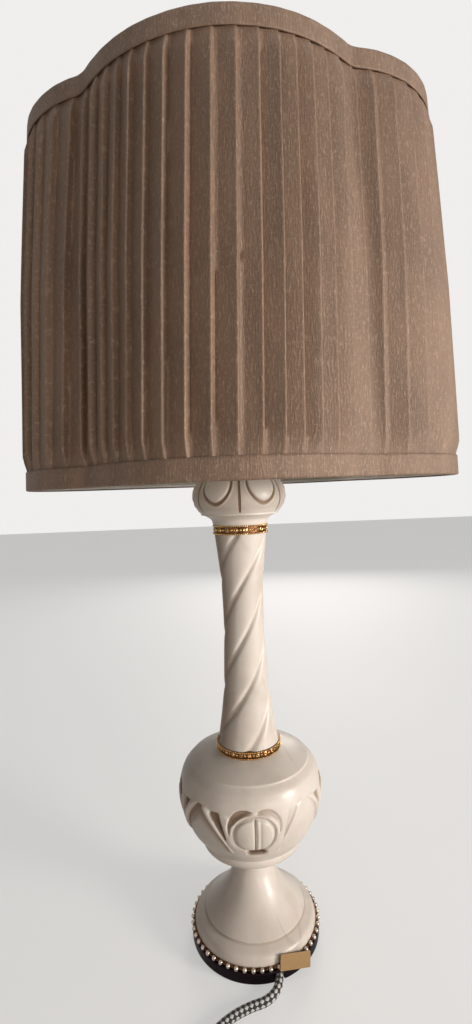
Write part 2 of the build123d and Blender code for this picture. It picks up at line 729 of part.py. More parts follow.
# ================= bulb =================
with BuildPart() as bulb_cap:
    with BuildSketch(Plane.XZ):
        with BuildLine():
            Polyline(
                (0, bulb_cap_bottom),
                (BULB_CONTACT_RADIUS, bulb_cap_bottom),
                (BULB_CONTACT_RADIUS + BULB_CONTACT_BEVEL, bulb_cap_bottom + BULB_CONTACT_BEVEL),
                (BULB_CAP_RADIUS, bulb_cap_bottom + BULB_CAP_SHOULDER),
                (BULB_CAP_RADIUS, bulb_cap_top),
                (0, bulb_cap_top),
                close=True,
            )
        make_face()
    revolve(axis=Axis.Z)

bulb_middle = bulb_top - BULB_RADIUS
with BuildPart() as bulb_glass:
    with BuildSketch(Plane.XZ):
        with BuildLine():
            Line((0, bulb_cap_top), (BULB_CAP_RADIUS, bulb_cap_top))
            Spline(
                (BULB_CAP_RADIUS, bulb_cap_top),
                (BULB_CAP_RADIUS + BULB_THROAT[0], bulb_cap_top + BULB_THROAT[1]),
                (BULB_RADIUS, bulb_middle),
                tangents=[(0, 1), (0, 1)],
            )
            CenterArc((0, bulb_middle), BULB_RADIUS, 0, 90)
            Line((0, bulb_top), (0, bulb_cap_top))
        make_face()
    revolve(axis=Axis.Z)
    offset(amount=-BULB_WALL, openings=bulb_glass.faces().sort_by(Axis.Z)[0])


# ================= shade =================
def shade_plane(height):
    """The shade's own level plane: it is turned a little on its washer."""
    turn = math.radians(SHADE_TURN)
    return Plane(origin=(0, 0, height), x_dir=(math.cos(turn), math.sin(turn), 0))


def shade_arcs(height, out):
    """The shade's outline at a height, moved outwards by out, as arcs given by centre,
    radius, start angle and turn. They run counterclockwise from the front's middle."""
    share = (height - SHADE_BOTTOM) / SHADE_HEIGHT
    bow = SHADE_BOW * (1 - abs(2 * share - 1))
    grow = bow + out
    centre = BOTTOM_CENTRE_RADIUS + (TOP_CENTRE_RADIUS - BOTTOM_CENTRE_RADIUS) * share + grow
    lobe = BOTTOM_LOBE_RADIUS + (TOP_LOBE_RADIUS - BOTTOM_LOBE_RADIUS) * share + grow
    side = BOTTOM_LOBE_OFFSET + (TOP_LOBE_OFFSET - BOTTOM_LOBE_OFFSET) * share
    valley = VALLEY_RADIUS - out
    valley_x = ((centre + valley) ** 2 - (lobe + valley) ** 2 + side**2) / (2 * side)
    valley_y = math.sqrt((centre + valley) ** 2 - valley_x**2)
    inner = math.degrees(math.atan2(valley_y, valley_x))
    outer = math.degrees(math.atan2(valley_y, valley_x - side))
    back_turn = inner - outer
    return [
        ((0, 0), centre, -90, 90 - inner),
        ((valley_x, -valley_y), valley, 180 - inner, back_turn),
        ((side, 0), lobe, -outer, 2 * outer),
        ((valley_x, valley_y), valley, 180 + outer, back_turn),
        ((0, 0), centre, inner, 180 - 2 * inner),
        ((-valley_x, valley_y), valley, -inner, back_turn),
        ((-side, 0), lobe, 180 - outer, 2 * outer),
        ((-valley_x, -valley_y), valley, outer, back_turn),
        ((0, 0), centre, 180 + inner, 90 - inner),
    ]


def shade_point(height, share, out):
    """A point of the outline, at a share of the way round, moved outwards by out."""
    arcs = shade_arcs(height, 0)
    left = share % 1.0 * sum(radius * math.radians(abs(turn)) for _, radius, _, turn in arcs)
    for centre, radius, start, turn in arcs:
        length = radius * math.radians(abs(turn))
        if left <= length:
            break
        left -= length
    way = 1 if turn > 0 else -1
    return polar(radius + way * out, start + turn * left / length, centre)


def shade_face(height, out):
    """The outline as a face with smooth arcs."""
    with BuildSketch(shade_plane(height)) as outline:
        with BuildLine():
            for centre, radius, start, turn in shade_arcs(height, out):
                CenterArc(centre, radius, start, turn)
        make_face()
    return outline.sketch


def shade_wall(bottom, top, inside, outside):
    """A thin wall that follows the shade, between two heights and two offsets."""
    middle = SHADE_BOTTOM + SHADE_HEIGHT / 2
    levels = [bottom, middle, top] if bottom < middle < top else [bottom, top]
    with BuildPart() as wall:
        loft([shade_face(level, outside) for level in levels], ruled=True)
        loft([shade_face(level, inside) for level in levels], ruled=True, mode=Mode.SUBTRACT)
    return wall


def pleated_face(height, depth):
    """The pleated outline: each pleat rises to a ridge and then steps back."""
    corners = []
    for pleat in range(PLEAT_COUNT):
        for share, rise in ((0.0, 0.0), (PLEAT_RIDGE, depth)):
            out = cover_inside + COVER_THICKNESS + rise
            corners.append(shade_point(height, (pleat + share) / PLEAT_COUNT, out))
    with BuildSketch(shade_plane(height)) as outline:
        with BuildLine():
            Polyline(*corners, close=True)
        make_face()
    return outline.sketch


cover_inside = SEAT_GAP
trim_inside = cover_inside + COVER_THICKNESS + PLEAT_DEPTH_AT_TRIM + SEAT_GAP
liner = shade_wall(SHADE_BOTTOM, shade_top, -LINER_THICKNESS, 0)
bottom_trim = shade_wall(
    SHADE_BOTTOM, SHADE_BOTTOM + TRIM_WIDTH, trim_inside, trim_inside + TRIM_THICKNESS
)
top_trim = shade_wall(
    shade_top - TRIM_WIDTH, shade_top, trim_inside, trim_inside + TRIM_THICKNESS
)

pleat_levels = [
    (SHADE_BOTTOM, PLEAT_DEPTH_AT_TRIM),
    (SHADE_BOTTOM + TRIM_WIDTH, PLEAT_DEPTH_AT_TRIM),
    (SHADE_BOTTOM + TRIM_WIDTH + PLEAT_EASE, PLEAT_DEPTH),
    (SHADE_BOTTOM + SHADE_HEIGHT / 2, PLEAT_DEPTH),
    (shade_top - TRIM_WIDTH - PLEAT_EASE, PLEAT_DEPTH),
    (shade_top - TRIM_WIDTH, PLEAT_DEPTH_AT_TRIM),
    (shade_top, PLEAT_DEPTH_AT_TRIM),
]
smooth_levels = [SHADE_BOTTOM, SHADE_BOTTOM + SHADE_HEIGHT / 2, shade_top]
with BuildPart() as pleated_cover:
    loft([pleated_face(level, depth) for level, depth in pleat_levels], ruled=True)
    loft(
        [shade_face(level, cover_inside) for level in smooth_levels],
        ruled=True,
        mode=Mode.SUBTRACT,
    )

wire_inside = -(LINER_THICKNESS + SEAT_GAP + SHADE_WIRE_RADIUS)
top_wire_level = shade_top - SHADE_WIRE_RADIUS
bottom_wire_level = SHADE_BOTTOM + SHADE_WIRE_RADIUS


def ring_wire(height):
    """A round wire bent to the shade's outline, inside its liner."""
    with BuildPart() as ring:
        with BuildLine(shade_plane(height)) as bend:
            for centre, radius, start, turn in shade_arcs(height, wire_inside):
                CenterArc(centre, radius, start, turn)
        with BuildSketch(Plane(origin=bend.wire() @ 0, z_dir=bend.wire() % 0)):
            Circle(SHADE_WIRE_RADIUS)
        sweep(path=bend.wire())
    return ring


top_ring_wire = ring_wire(top_wire_level)
bottom_ring_wire = ring_wire(bottom_wire_level)


def valley_shares(height):
    """How far round the outline the middles of its four valleys are."""
    arcs = shade_arcs(height, 0)
    lengths = [radius * math.radians(abs(turn)) for _, radius, _, turn in arcs]
    return [(sum(lengths[:n]) + lengths[n] / 2) / sum(lengths) for n in (1, 3, 5, 7)]


def on_frame(height, share):
    """A point on the wire frame's centreline."""
    return shade_plane(height).from_local_coords((*shade_point(height, share, wire_inside), 0))


quarter_shares = [number / RIB_SIDES for number in range(RIB_SIDES)]
low_shares = quarter_shares + valley_shares(bottom_wire_level)
high_shares = quarter_shares + valley_shares(top_wire_level)
with BuildPart() as frame_ribs:
    for low_share, high_share in zip(low_shares, high_shares):
        low = Vector(on_frame(bottom_wire_level, low_share))
        high = Vector(on_frame(top_wire_level, high_share))
        with BuildSketch(Plane(origin=low, z_dir=high - low)):
            Circle(RIB_WIRE_RADIUS)
        extrude(amount=(high - low).length)

washer_middle = (washer_bottom + washer_top) / 2
with BuildPart() as spider:
    with BuildSketch(Plane.XY.offset(washer_bottom)):
        Circle(SPIDER_WASHER_RADIUS)
    extrude(amount=SPIDER_WASHER_THICKNESS)
    for share in valley_shares(top_wire_level):
        rim = Vector(on_frame(top_wire_level, share))
        hub = Vector(rim.X, rim.Y, 0).normalized() * (SPIDER_WASHER_RADIUS - SPIDER_ARM_INSET)
        hub = Vector(hub.X, hub.Y, washer_middle)
        with BuildSketch(Plane(origin=hub, z_dir=rim - hub)):
            Circle(RIB_WIRE_RADIUS)
        extrude(amount=(rim - hub).length)
    with BuildSketch(Plane.XY.offset(washer_bottom - CUT_OVERSHOOT)):
        Circle(STUD_RADIUS + THREAD_GAP)
    extrude(amount=SPIDER_WASHER_THICKNESS + 4 * CUT_OVERSHOOT, mode=Mode.SUBTRACT)

stem_radius = FINIAL_RADIUS - FINIAL_STEM_IN
finial_top = finial_bottom + FINIAL_HEIGHT
with BuildPart() as finial:
    with BuildSketch(Plane.XZ):
        with BuildLine():
            Polyline(
                (0, finial_bottom),
                (FINIAL_RADIUS - FINIAL_COLLAR[0], finial_bottom),
                (FINIAL_RADIUS - FINIAL_COLLAR[0], finial_bottom + FINIAL_COLLAR[1]),
                (stem_radius, finial_bottom + FINIAL_STEM_BOTTOM),
                (stem_radius, finial_bottom + FINIAL_STEM_TOP),
            )
            ThreePointArc(
                (stem_radius, finial_bottom + FINIAL_STEM_TOP),
                (FINIAL_RADIUS, finial_bottom + FINIAL_WIDEST),
                (FINIAL_RADIUS - FINIAL_TIP[0], finial_top - FINIAL_TIP[1]),
            )
            Polyline(
                (FINIAL_RADIUS - FINIAL_TIP[0], finial_top - FINIAL_TIP[1]),
                (0, finial_top),
                (0, finial_bottom),
            )
        make_face()
    revolve(axis=Axis.Z)
    with BuildSketch(Plane.XY.offset(finial_bottom)):
        Circle(STUD_RADIUS + THREAD_GAP)
    extrude(amount=HARP_SEAT_TOP + STUD_LENGTH - finial_bottom + CUT_OVERSHOOT, mode=Mode.SUBTRACT)


# ================= cord =================
def corner_radii(route):
    """The largest arcs that the route's corners have room for."""
    radii = []
    for before, corner, after in zip(route, route[1:], route[2:]):
        arriving = Vector(*corner) - Vector(*before)
        leaving = Vector(*after) - Vector(*corner)
        half_turn = math.radians(arriving.get_angle(leaving)) / 2
        radii.append(CORNER_SHARE * min(arriving.length, leaving.length) / math.tan(half_turn))
    return radii


def cord_tube(route):
    """A tube of the cord's diameter along straight runs and tangent arcs."""
    radii = corner_radii(route)
    with BuildPart() as tube:
        with BuildLine() as way:
            FilletPolyline(*route, radius=radii)
        path = way.wire()
        with BuildSketch(Plane(origin=path @ 0, z_dir=path % 0)):
            Circle(CORD_RADIUS)
        sweep(path=path)
    print("cord radii, mm:", [round(radius, 1) for radius in radii])
    print("cord length, mm:", round(path.length, 1), "volume over section x length:",
          round(tube.part.volume / (math.pi * CORD_RADIUS**2 * path.length), 4))
    return tube, path.length


cord_run, run_length = cord_tube(CORD_ROUTE)

# The same cord inside the lamp: under the base plate and up the rod to the socket.
lead_in = cord_exit - exit_way * LEAD_IN_LENGTH
lead_route = [
    tuple(cord_exit),
    tuple(lead_in),
    (*LEAD_MIDDLE, CORD_EXIT_HEIGHT),
    (0.0, 0.0, CORD_EXIT_HEIGHT),
    (0.0, 0.0, LEAD_RISE_START),
]
with BuildPart() as inner_lead:
    with BuildLine() as lead_way:
        FilletPolyline(*lead_route, radius=LEAD_BENDS)
        Line(lead_route[-1], (0, 0, core_bottom))
    lead_path = lead_way.wire()
    with BuildSketch(Plane(origin=cord_exit, z_dir=exit_way * -1)):
        Circle(CORD_RADIUS)
    sweep(path=lead_path)

# The coil: in along the lower layer, a climb at the middle, and out along the upper one.
layer_low = CORD_RADIUS
layer_high = CORD_RADIUS + COIL_PITCH
coil_inner = COIL_RADIUS - COIL_HALF_TURNS * COIL_PITCH / 2 - COIL_CLIMB_INSET
side_radii = [COIL_RADIUS - n * COIL_PITCH / 2 for n in range(COIL_HALF_TURNS)] + [coil_inner]


def coil_half_turn(side, start_radius, end_radius, level, turn=180):
    """Half a turn, counterclockwise, from one side of the coil to the other."""
    radius = (start_radius + end_radius) / 2
    middle = (side * (start_radius - end_radius) / 2, COIL_CENTRE_Y, level)
    return CenterArc(middle, radius, 0 if side > 0 else 180, turn)


with BuildPart() as cord_coil:
    with BuildLine() as coil_way:
        Line(CORD_ROUTE[-1], (-COIL_RADIUS, COIL_CENTRE_Y, layer_low))
        side = -1
        for outer, inner in zip(side_radii, side_radii[1:]):
            coil_half_turn(side, outer, inner, layer_low)
            side = -side
        climb_start = (side * coil_inner, COIL_CENTRE_Y, layer_low)
        climb_end = (-side * coil_inner, COIL_CENTRE_Y, layer_high)
        climb_span = Vector(*climb_end) - Vector(*climb_start)
        lead_off = climb_span.length / 2
        climb_top = (0, COIL_CENTRE_Y + side * lead_off, (layer_low + layer_high) / 2)
        first = TangentArc(climb_start, climb_top, tangent=(0, side, 0))
        TangentArc(climb_top, climb_end, tangent=first % 1)
        side = -side
        for inner, outer in zip(side_radii[:1:-1], side_radii[-2:0:-1]):
            coil_half_turn(side, inner, outer, layer_high)
            side = -side
        last = coil_half_turn(side, side_radii[1], side_radii[0], layer_high, 90)
        tail = last @ 1
        coil_end = (tail.X + 2 * CORD_DIAMETER, tail.Y, tail.Z)
        Line(tail, coil_end)
    coil_path = coil_way.wire()
    with BuildSketch(Plane(origin=CORD_ROUTE[-1], z_dir=(0, -1, 0))):
        Circle(CORD_RADIUS)
    sweep(path=coil_path)


def coil_gap():
    """The least gap between the coil's turns, measured on points of its centreline."""
    count = GAP_POINTS
    points = [coil_path @ (n / count) for n in range(count + 1)]
    step = coil_path.length / count
    near = int(3 * CORD_DIAMETER / step)
    least = min(
        (points[a] - points[b]).length
        for a in range(count + 1)
        for b in range(a + near, count + 1)
    )
    return least - CORD_DIAMETER


print("coil length, mm:", round(coil_path.length, 1), "least gap, mm:", round(coil_gap(), 2))
print("free cord length, mm:", round(run_length + coil_path.length, 1))

# ================= plug =================
plug_height = 2 * layer_high
plug_axis = Plane(origin=coil_end, x_dir=(0, 1, 0), z_dir=(1, 0, 0))
with BuildPart() as plug_body:
    with BuildSketch(plug_axis):
        Circle(PLUG_RELIEF_RADIUS - PLUG_RELIEF_TAPER)
    with BuildSketch(plug_axis.offset(PLUG_RELIEF_LENGTH)):
        Circle(PLUG_RELIEF_RADIUS)
    loft()
    with BuildSketch(plug_axis.offset(PLUG_RELIEF_LENGTH)):
        RectangleRounded(PLUG_WIDTH - PLUG_NOSE_TAPER, plug_height - PLUG_NOSE_TAPER, PLUG_CORNER)
    with BuildSketch(plug_axis.offset(PLUG_RELIEF_LENGTH + PLUG_NOSE_LENGTH)):
        RectangleRounded(PLUG_WIDTH, plug_height, PLUG_CORNER)
    loft()
    with BuildSketch(plug_axis.offset(PLUG_RELIEF_LENGTH + PLUG_NOSE_LENGTH)):
        RectangleRounded(PLUG_WIDTH, plug_height, PLUG_CORNER)
    extrude(amount=PLUG_LENGTH - PLUG_NOSE_LENGTH)

with BuildPart() as plug_blades:
    with BuildSketch(plug_axis.offset(PLUG_RELIEF_LENGTH + PLUG_LENGTH)):
        with GridLocations(BLADE_SPACING, 0, 2, 1):
            Rectangle(BLADE_THICKNESS, BLADE_WIDTH)
    extrude(amount=BLADE_LENGTH)
    chamfer(plug_blades.faces().sort_by(Axis.X)[-1].edges().filter_by(Axis.Z), BLADE_CHAMFER)

# ================= the pieces =================
pieces = {
    "felt_pad": felt_pad,
    "base_plate": base_plate,
    "bead_ring": bead_ring,
    "name_plate": name_plate,
    "foot": foot,
    "vase": vase,
    "lower_ring": lower_ring,
    "spiral_column": spiral_column,
    "upper_ring": upper_ring,
    "capital": capital,
    "capital_cap": capital_cap,
    "threaded_rod": threaded_rod,
    "base_washer": base_washer,
    "lock_washer": lock_washer,
    "base_nut": base_nut,
    "column_nut": column_nut,
    "harp_saddle": harp_saddle,
    "harp": harp,
    "ferrule_right": ferrule_right,
    "ferrule_left": ferrule_left,
    "socket_cap": socket_cap,
    "socket_shell": socket_shell,
    "insulating_sleeve": insulating_sleeve,
    "socket_core": socket_core,
    "screw_shell": screw_shell,
    "switch_knob": switch_knob,
    "bulb_cap": bulb_cap,
    "bulb_glass": bulb_glass,
    "liner": liner,
    "pleated_cover": pleated_cover,
    "bottom_trim": bottom_trim,
    "top_trim": top_trim,
    "top_ring_wire": top_ring_wire,
    "bottom_ring_wire": bottom_ring_wire,
    "frame_ribs": frame_ribs,
    "spider": spider,
    "finial": finial,
    "inner_lead": inner_lead,
    "cord_run": cord_run,
    "cord_coil": cord_coil,
    "plug_body": plug_body,
    "plug_blades": plug_blades,
}
for name, piece in pieces.items():
    piece.part.label = name
    export_step(piece.part, f"parts/{name}.step")
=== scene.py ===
"""A column table lamp: carved alabaster on a beaded base, with a knife-pleated silk shade.

Metres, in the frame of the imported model: +Z is up, -Y is the front, and the origin is under
the column, on the surface that the lamp stands on. Azimuths are degrees from the front,
towards the right.
"""

import math

import bmesh
import bpy
import numpy as np
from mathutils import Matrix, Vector


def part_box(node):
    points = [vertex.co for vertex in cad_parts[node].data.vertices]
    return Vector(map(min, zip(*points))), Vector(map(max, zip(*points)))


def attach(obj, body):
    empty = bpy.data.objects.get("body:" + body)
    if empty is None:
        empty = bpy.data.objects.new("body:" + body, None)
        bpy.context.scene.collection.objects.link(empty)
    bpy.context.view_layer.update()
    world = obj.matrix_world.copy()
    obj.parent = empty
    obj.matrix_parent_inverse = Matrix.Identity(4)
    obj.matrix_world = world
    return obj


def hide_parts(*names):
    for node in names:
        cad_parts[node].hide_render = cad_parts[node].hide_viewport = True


bl_info = {
    "name": "Column Table Lamp",
    "version": (1, 0, 0),
    "blender": (4, 5, 0),
    "location": "View3D > Sidebar > Lamp",
    "description": "Carved alabaster column lamp with a knife-pleated shade",
    "category": "Object",
}

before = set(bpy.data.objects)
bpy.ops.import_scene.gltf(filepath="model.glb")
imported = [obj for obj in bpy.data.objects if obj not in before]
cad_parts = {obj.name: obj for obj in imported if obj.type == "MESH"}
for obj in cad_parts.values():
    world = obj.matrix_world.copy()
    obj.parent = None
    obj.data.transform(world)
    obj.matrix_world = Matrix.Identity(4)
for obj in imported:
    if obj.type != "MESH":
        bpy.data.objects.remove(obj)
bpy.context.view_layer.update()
MM = 0.001
FRONT = -90.0            # the front's angle in the XY plane
PHOTO_HEIGHT = 1024
FLOOR_GLOW = 0.95        # strength of the floor's glow, where the camera sees it
GLOSS_SHARE = 0.55       # how much of the pale room a glossy surface shows

# ---- stones ----
ROD_CLEARANCE = 5.35 * MM
STONE_COLUMNS = 400
CARVED_COLUMNS = 560
RING_COLUMNS = 192
STRIP_COLUMNS = 200
STONE_STEP = 1.1 * MM
CARVED_STEP = 0.75 * MM
WAX_AND_SHADE_DEPTH = 2.6 * MM            # how deep a cut gets the most old wax and painted shade
WAX_AND_SHADE_RUN = 2                     # rows of the mesh by which the old wax and painted shade run down below a cut
COLUMN_WAIST = 303.0 * MM
COLUMN_COLUMNS = 289
COLUMN_ROWS = 121
FOOT_POWER = 3.4                # how sharply the column flares at its foot
HEAD_POWER = 1.9
REED_POWER = 2.6                # how flat a reed's crown is
REED_SHARE = 0.40               # of the reed's depth, for its rounding
CUT_SHARPNESS = 6.2             # how narrow the cut between two reeds is
CUT_SHARE = 1.05                # of the reed's depth, for that cut
CUT_WAX_AND_SHADE = 0.75                  # how much old wax and painted shade it holds
MERGE_DISTANCE = 0.001 * MM

# ---- shade ----
SHADE_TURN = -4.3
TOP_CENTRE_RADIUS = 139.6 * MM
TOP_LOBE_RADIUS = 91.6 * MM
TOP_LOBE_OFFSET = 94.0 * MM
BOTTOM_CENTRE_RADIUS = 148.6 * MM
BOTTOM_LOBE_RADIUS = 96.6 * MM
BOTTOM_LOBE_OFFSET = 103.0 * MM
VALLEY_RADIUS = 27.0 * MM
SHADE_BOW = 2.5 * MM
LINER_THICKNESS = 0.8 * MM
COVER_THICKNESS = 0.5 * MM
COVER_OUT = 0.65 * MM       # the cover's middle, outside the liner's outer face
PLEAT_DEPTH_AT_TRIM = 1.0 * MM
PLEAT_EASE = 16.0 * MM
TRIM_THICKNESS = 1.0 * MM
TRIM_OUT = 2.9 * MM         # the trim's middle, outside the liner's outer face
COVER_ROWS = 58
PLEAT_WAVES = ((7, 0.15), (2, -0.05))   # the pleats' width: waves round the shade, and their share
PLEAT_CENTRE = -0.004       # where those waves start, as a share of the way round
PLEAT_SLANT = 11.0 * MM     # how far a pleat runs sideways from bottom to top
LINING_COLUMNS = 360
LINING_ROWS = 13
BAND_COLUMNS = 420
BAND_FOLD = ((-0.3, 0.45), (-1.4, 0.75), (-2.8, 0.8), (-3.7, 0.8))   # mm inwards, mm past the edge
BAND_PUCKERS = (7, 16, 31, 66)
PLEAT_SEED = 7
BAND_SEEDS = {1: 13, -1: 14}            # for the top band and the bottom band
PLEAT_STATIONS = (          # share of the pleat's width, share of its depth
    (0.00, 0.00),
    (0.20, 0.20),
    (0.42, 0.45),
    (0.64, 0.71),
    (0.80, 0.91),
    (0.86, 1.00),
    (0.895, 0.99),
    (0.925, 0.78),
    (0.955, 0.38),
    (0.985, 0.07),
)

# ---- cord ----
CORD_DIAMETER = 7.0 * MM
CORD_RADIUS = CORD_DIAMETER / 2
CORD_EXIT_HEIGHT = 4.8 * MM
CORD_SIDES = 20
CORD_STEP = 1.3 * MM
COIL_CENTRE_Y = -168.0 * MM
COIL_RADIUS = 51.0 * MM
COIL_PITCH = 7.5 * MM
COIL_HALF_TURNS = 7
COIL_CLIMB_INSET = 1.2 * MM
COIL_ANGLE_STEP = 20.0
CORD_ROUTE = [
    (19.1 * MM, -52.5 * MM, CORD_EXIT_HEIGHT),
    (18.5 * MM, -63.0 * MM, CORD_EXIT_HEIGHT),
    (13.6 * MM, -72.3 * MM, 3.9 * MM),
    (5.2 * MM, -78.6 * MM, CORD_RADIUS),
    (-6.4 * MM, -81.7 * MM, CORD_RADIUS),
    (-22.0 * MM, -89.0 * MM, CORD_RADIUS),
    (-37.0 * MM, -101.0 * MM, CORD_RADIUS),
    (-47.0 * MM, -118.0 * MM, CORD_RADIUS),
    (-COIL_RADIUS, -139.0 * MM, CORD_RADIUS),
    (-COIL_RADIUS, COIL_CENTRE_Y + CORD_DIAMETER, CORD_RADIUS),
]

# ---- camera, fitted to the photograph ----
CAMERA_PLACE = (-2.7 * MM, -500.0 * MM, 424.0 * MM)
CAMERA_LENS = 18.0
CAMERA_SENSOR = 36.0
CAMERA_ROLL = -2.25
HORIZON_ROW = 492


def length_property(name, description, default):
    """A length that a user may change."""
    return bpy.props.FloatProperty(
        name=name, description=description, default=default, unit="LENGTH", precision=4
    )


def colour_property(name, description, default):
    """A colour that a user may change."""
    return bpy.props.FloatVectorProperty(
        name=name, description=description, subtype="COLOR", size=4, min=0, max=1,
        default=(*default, 1.0),
    )


class LampSizes(bpy.types.PropertyGroup):
    """The lamp's sizes."""

    reeds: bpy.props.IntProperty(name="Reeds", description="Reeds on the column", default=4, min=1)
    reed_depth: length_property("Reed depth", "How deep the grooves between reeds are", 2.1 * MM)
    spiral_lead: length_property("Spiral lead", "Height of one full turn of a reed", 205 * MM)
    beads: bpy.props.IntProperty(name="Beads", description="Beads on the base", default=50, min=3)
    bead_radius: length_property("Bead radius", "Radius of one bead", 2.0 * MM)
    bead_ring: length_property("Bead circle", "Radius of the circle of beads", 60.35 * MM)
    pleats: bpy.props.IntProperty(name="Pleats", description="Pleats round the shade", default=66, min=8)
    pleat_depth: length_property("Pleat depth", "How far a pleat's ridge stands out", 5.4 * MM)
    trim_width: length_property("Trim width", "Width of the shade's flat bands", 16 * MM)
    braid_cell: length_property("Braid cell", "Length of one crossing of the cord's braid", 4.6 * MM)


class LampColours(bpy.types.PropertyGroup):
    """The lamp's colours."""

    stone: colour_property("Stone", "Clear alabaster", (0.800, 0.720, 0.645))
    stone_cloud: colour_property("Stone clouds", "Denser patches of the stone", (0.600, 0.515, 0.435))
    stone_vein: colour_property("Stone veins", "Fine veins in the stone", (0.400, 0.330, 0.265))
    # old wax and painted shade in the carving's recesses
    stone_recess: colour_property("Carved recesses", "Old wax in the carving", (0.270, 0.155, 0.075))
    # painted shadow under the buds, with some old wax
    stone_shadow_and_wax: colour_property("Darkest wax", "Old wax under the buds", (0.060, 0.026, 0.010))
    silk: colour_property("Silk", "The shade's cloth", (0.236, 0.146, 0.098))
    silk_slub: colour_property("Silk slubs", "Thick threads in the cloth", (0.480, 0.340, 0.245))
    lining: colour_property("Lining", "The shade's inner face", (0.780, 0.720, 0.620))
    brass: colour_property("Brass", "Polished brass", (0.800, 0.580, 0.270))
    brass_dark: colour_property("Dark brass", "Lacquer in the rings' hollows", (0.135, 0.060, 0.030))
    brass_relief: colour_property("Ring relief", "Worn brass on the rings", (0.760, 0.470, 0.190))
    bead: colour_property("Beads", "Silvered beads", (0.640, 0.550, 0.460))
    bronze: colour_property("Base", "Dark metal of the base", (0.022, 0.013, 0.017))
    card: colour_property("Card", "Plain gold card", (0.200, 0.112, 0.036))
    cord_dark: colour_property("Cord, dark", "Dark yarn of the braid", (0.018, 0.017, 0.019))
    cord_light: colour_property("Cord, light", "Light yarn of the braid", (0.760, 0.740, 0.720))
    floor: colour_property("Floor", "The studio floor", (0.480, 0.477, 0.470))


def sizes():
    """The scene's lamp sizes."""
    return bpy.context.scene.lamp_sizes


def colours():
    """The scene's lamp colours."""
    return bpy.context.scene.lamp_colours


# ================= node trees =================
class Field:
    """A value in a node tree, which takes part in ordinary arithmetic."""

    def __init__(self, tree, socket):
        self.tree = tree
        self.socket = socket

    def math(self, operation, *others):
        """A math node on this value and others."""
        node = add_node(self.tree, "ShaderNodeMath", operation=operation)
        for place, value in enumerate((self, *others)):
            plug(self.tree, value, node.inputs[place])
        return Field(self.tree, node.outputs[0])

    def __add__(self, other):
        return self.math("ADD", other)

    def __sub__(self, other):
        return self.math("SUBTRACT", other)

    def __mul__(self, other):
        return self.math("MULTIPLY", other)

    def __truediv__(self, other):
        return self.math("DIVIDE", other)

    def __pow__(self, other):
        return self.math("POWER", other)

    def taken_from_one(self):
        """One minus this value."""
        return self * -1.0 + 1.0

    def span(self, low, high, smooth=True):
        """0 below low, 1 above high, and in between a smooth step."""
        node = add_node(
            self.tree, "ShaderNodeMapRange", {"Value": self, "From Min": low, "From Max": high},
            interpolation_type="SMOOTHSTEP" if smooth else "LINEAR",
        )
        return Field(self.tree, node.outputs[0])


def plug(tree, value, socket):
    """Feeds a field, a socket or a constant into a socket."""
    if isinstance(value, Field):
        value = value.socket
    if isinstance(value, bpy.types.NodeSocket):
        tree.links.new(value, socket)
    else:
        socket.default_value = value


def add_node(tree, kind, feeds=None, **settings):
    """A new node with its settings and what feeds its inputs."""
    node = tree.nodes.new(kind)
    for name, value in settings.items():
        setattr(node, name, value)
    for name, value in (feeds or {}).items():
        plug(tree, value, node.inputs[name])
    return node


def mixed(tree, share, low, high):
    """A colour between two others."""
    node = add_node(tree, "ShaderNodeMix", {0: share, 6: low, 7: high}, data_type="RGBA")
    return Field(tree, node.outputs[2])


def noise(tree, place, scale, detail=2.0, roughness=0.5, distortion=0.0):
    """Noise at a place, as a value from 0 to 1."""
    feeds = {
        "Vector": place, "Scale": scale, "Detail": detail, "Roughness": roughness,
        "Distortion": distortion,
    }
    return Field(tree, add_node(tree, "ShaderNodeTexNoise", feeds).outputs["Fac"])


def bump_normal(tree, height, distance, strength=1.0):
    """The normal of a surface with a height on it."""
    feeds = {"Height": height, "Distance": distance, "Strength": strength}
    return add_node(tree, "ShaderNodeBump", feeds).outputs[0]


def stretched(tree, place, scale):
    """A place scaled by its own factor along each axis."""
    return add_node(tree, "ShaderNodeMapping", {"Vector": place, "Scale": scale}).outputs[0]


def object_place(tree):
    """A point's place in metres."""
    return add_node(tree, "ShaderNodeTexCoord").outputs["Object"]


def cloth_place(tree):
    """A point's place on the cloth, in metres, from its UV map."""
    return add_node(tree, "ShaderNodeUVMap", uv_map="Cloth").outputs[0]


def attribute(tree, name):
    """A value that the mesh holds."""
    node = add_node(tree, "ShaderNodeAttribute", attribute_name=name)
    return Field(tree, node.outputs["Fac"])


def open_tree(tree, inputs, outputs):
    """Gives a tree its named inputs and outputs: the tree, what it takes and what it gives."""
    for label, kind, value in inputs:
        socket = tree.interface.new_socket(label, in_out="INPUT", socket_type="NodeSocket" + kind)
        if value is not None:
            socket.default_value = value
    for label, kind in outputs:
        tree.interface.new_socket(label, in_out="OUTPUT", socket_type="NodeSocket" + kind)
    return tree, tree.nodes.new("NodeGroupInput").outputs, tree.nodes.new("NodeGroupOutput").inputs


def effect_group(name, inputs, outputs):
    """An empty shader group: its tree, what it takes and what it gives."""
    return open_tree(bpy.data.node_groups.new(name, "ShaderNodeTree"), inputs, outputs)


def fine_grain_group():
    """Small unevenness of a hard surface: a normal, and a value round 0.5."""
    inputs = [
        ("Place", "Vector", (0.0, 0.0, 0.0)),
        ("Scale", "Float", 400.0),
        ("Height", "Float", 0.0001),
    ]
    tree, taken, given = effect_group(
        "Fine Grain", inputs, [("Normal", "Vector"), ("Value", "Float")]
    )
    value = noise(tree, taken["Place"], taken["Scale"], 4.0, 0.6)
    plug(tree, bump_normal(tree, value, taken["Height"]), given["Normal"])
    plug(tree, value, given["Value"])
    return tree


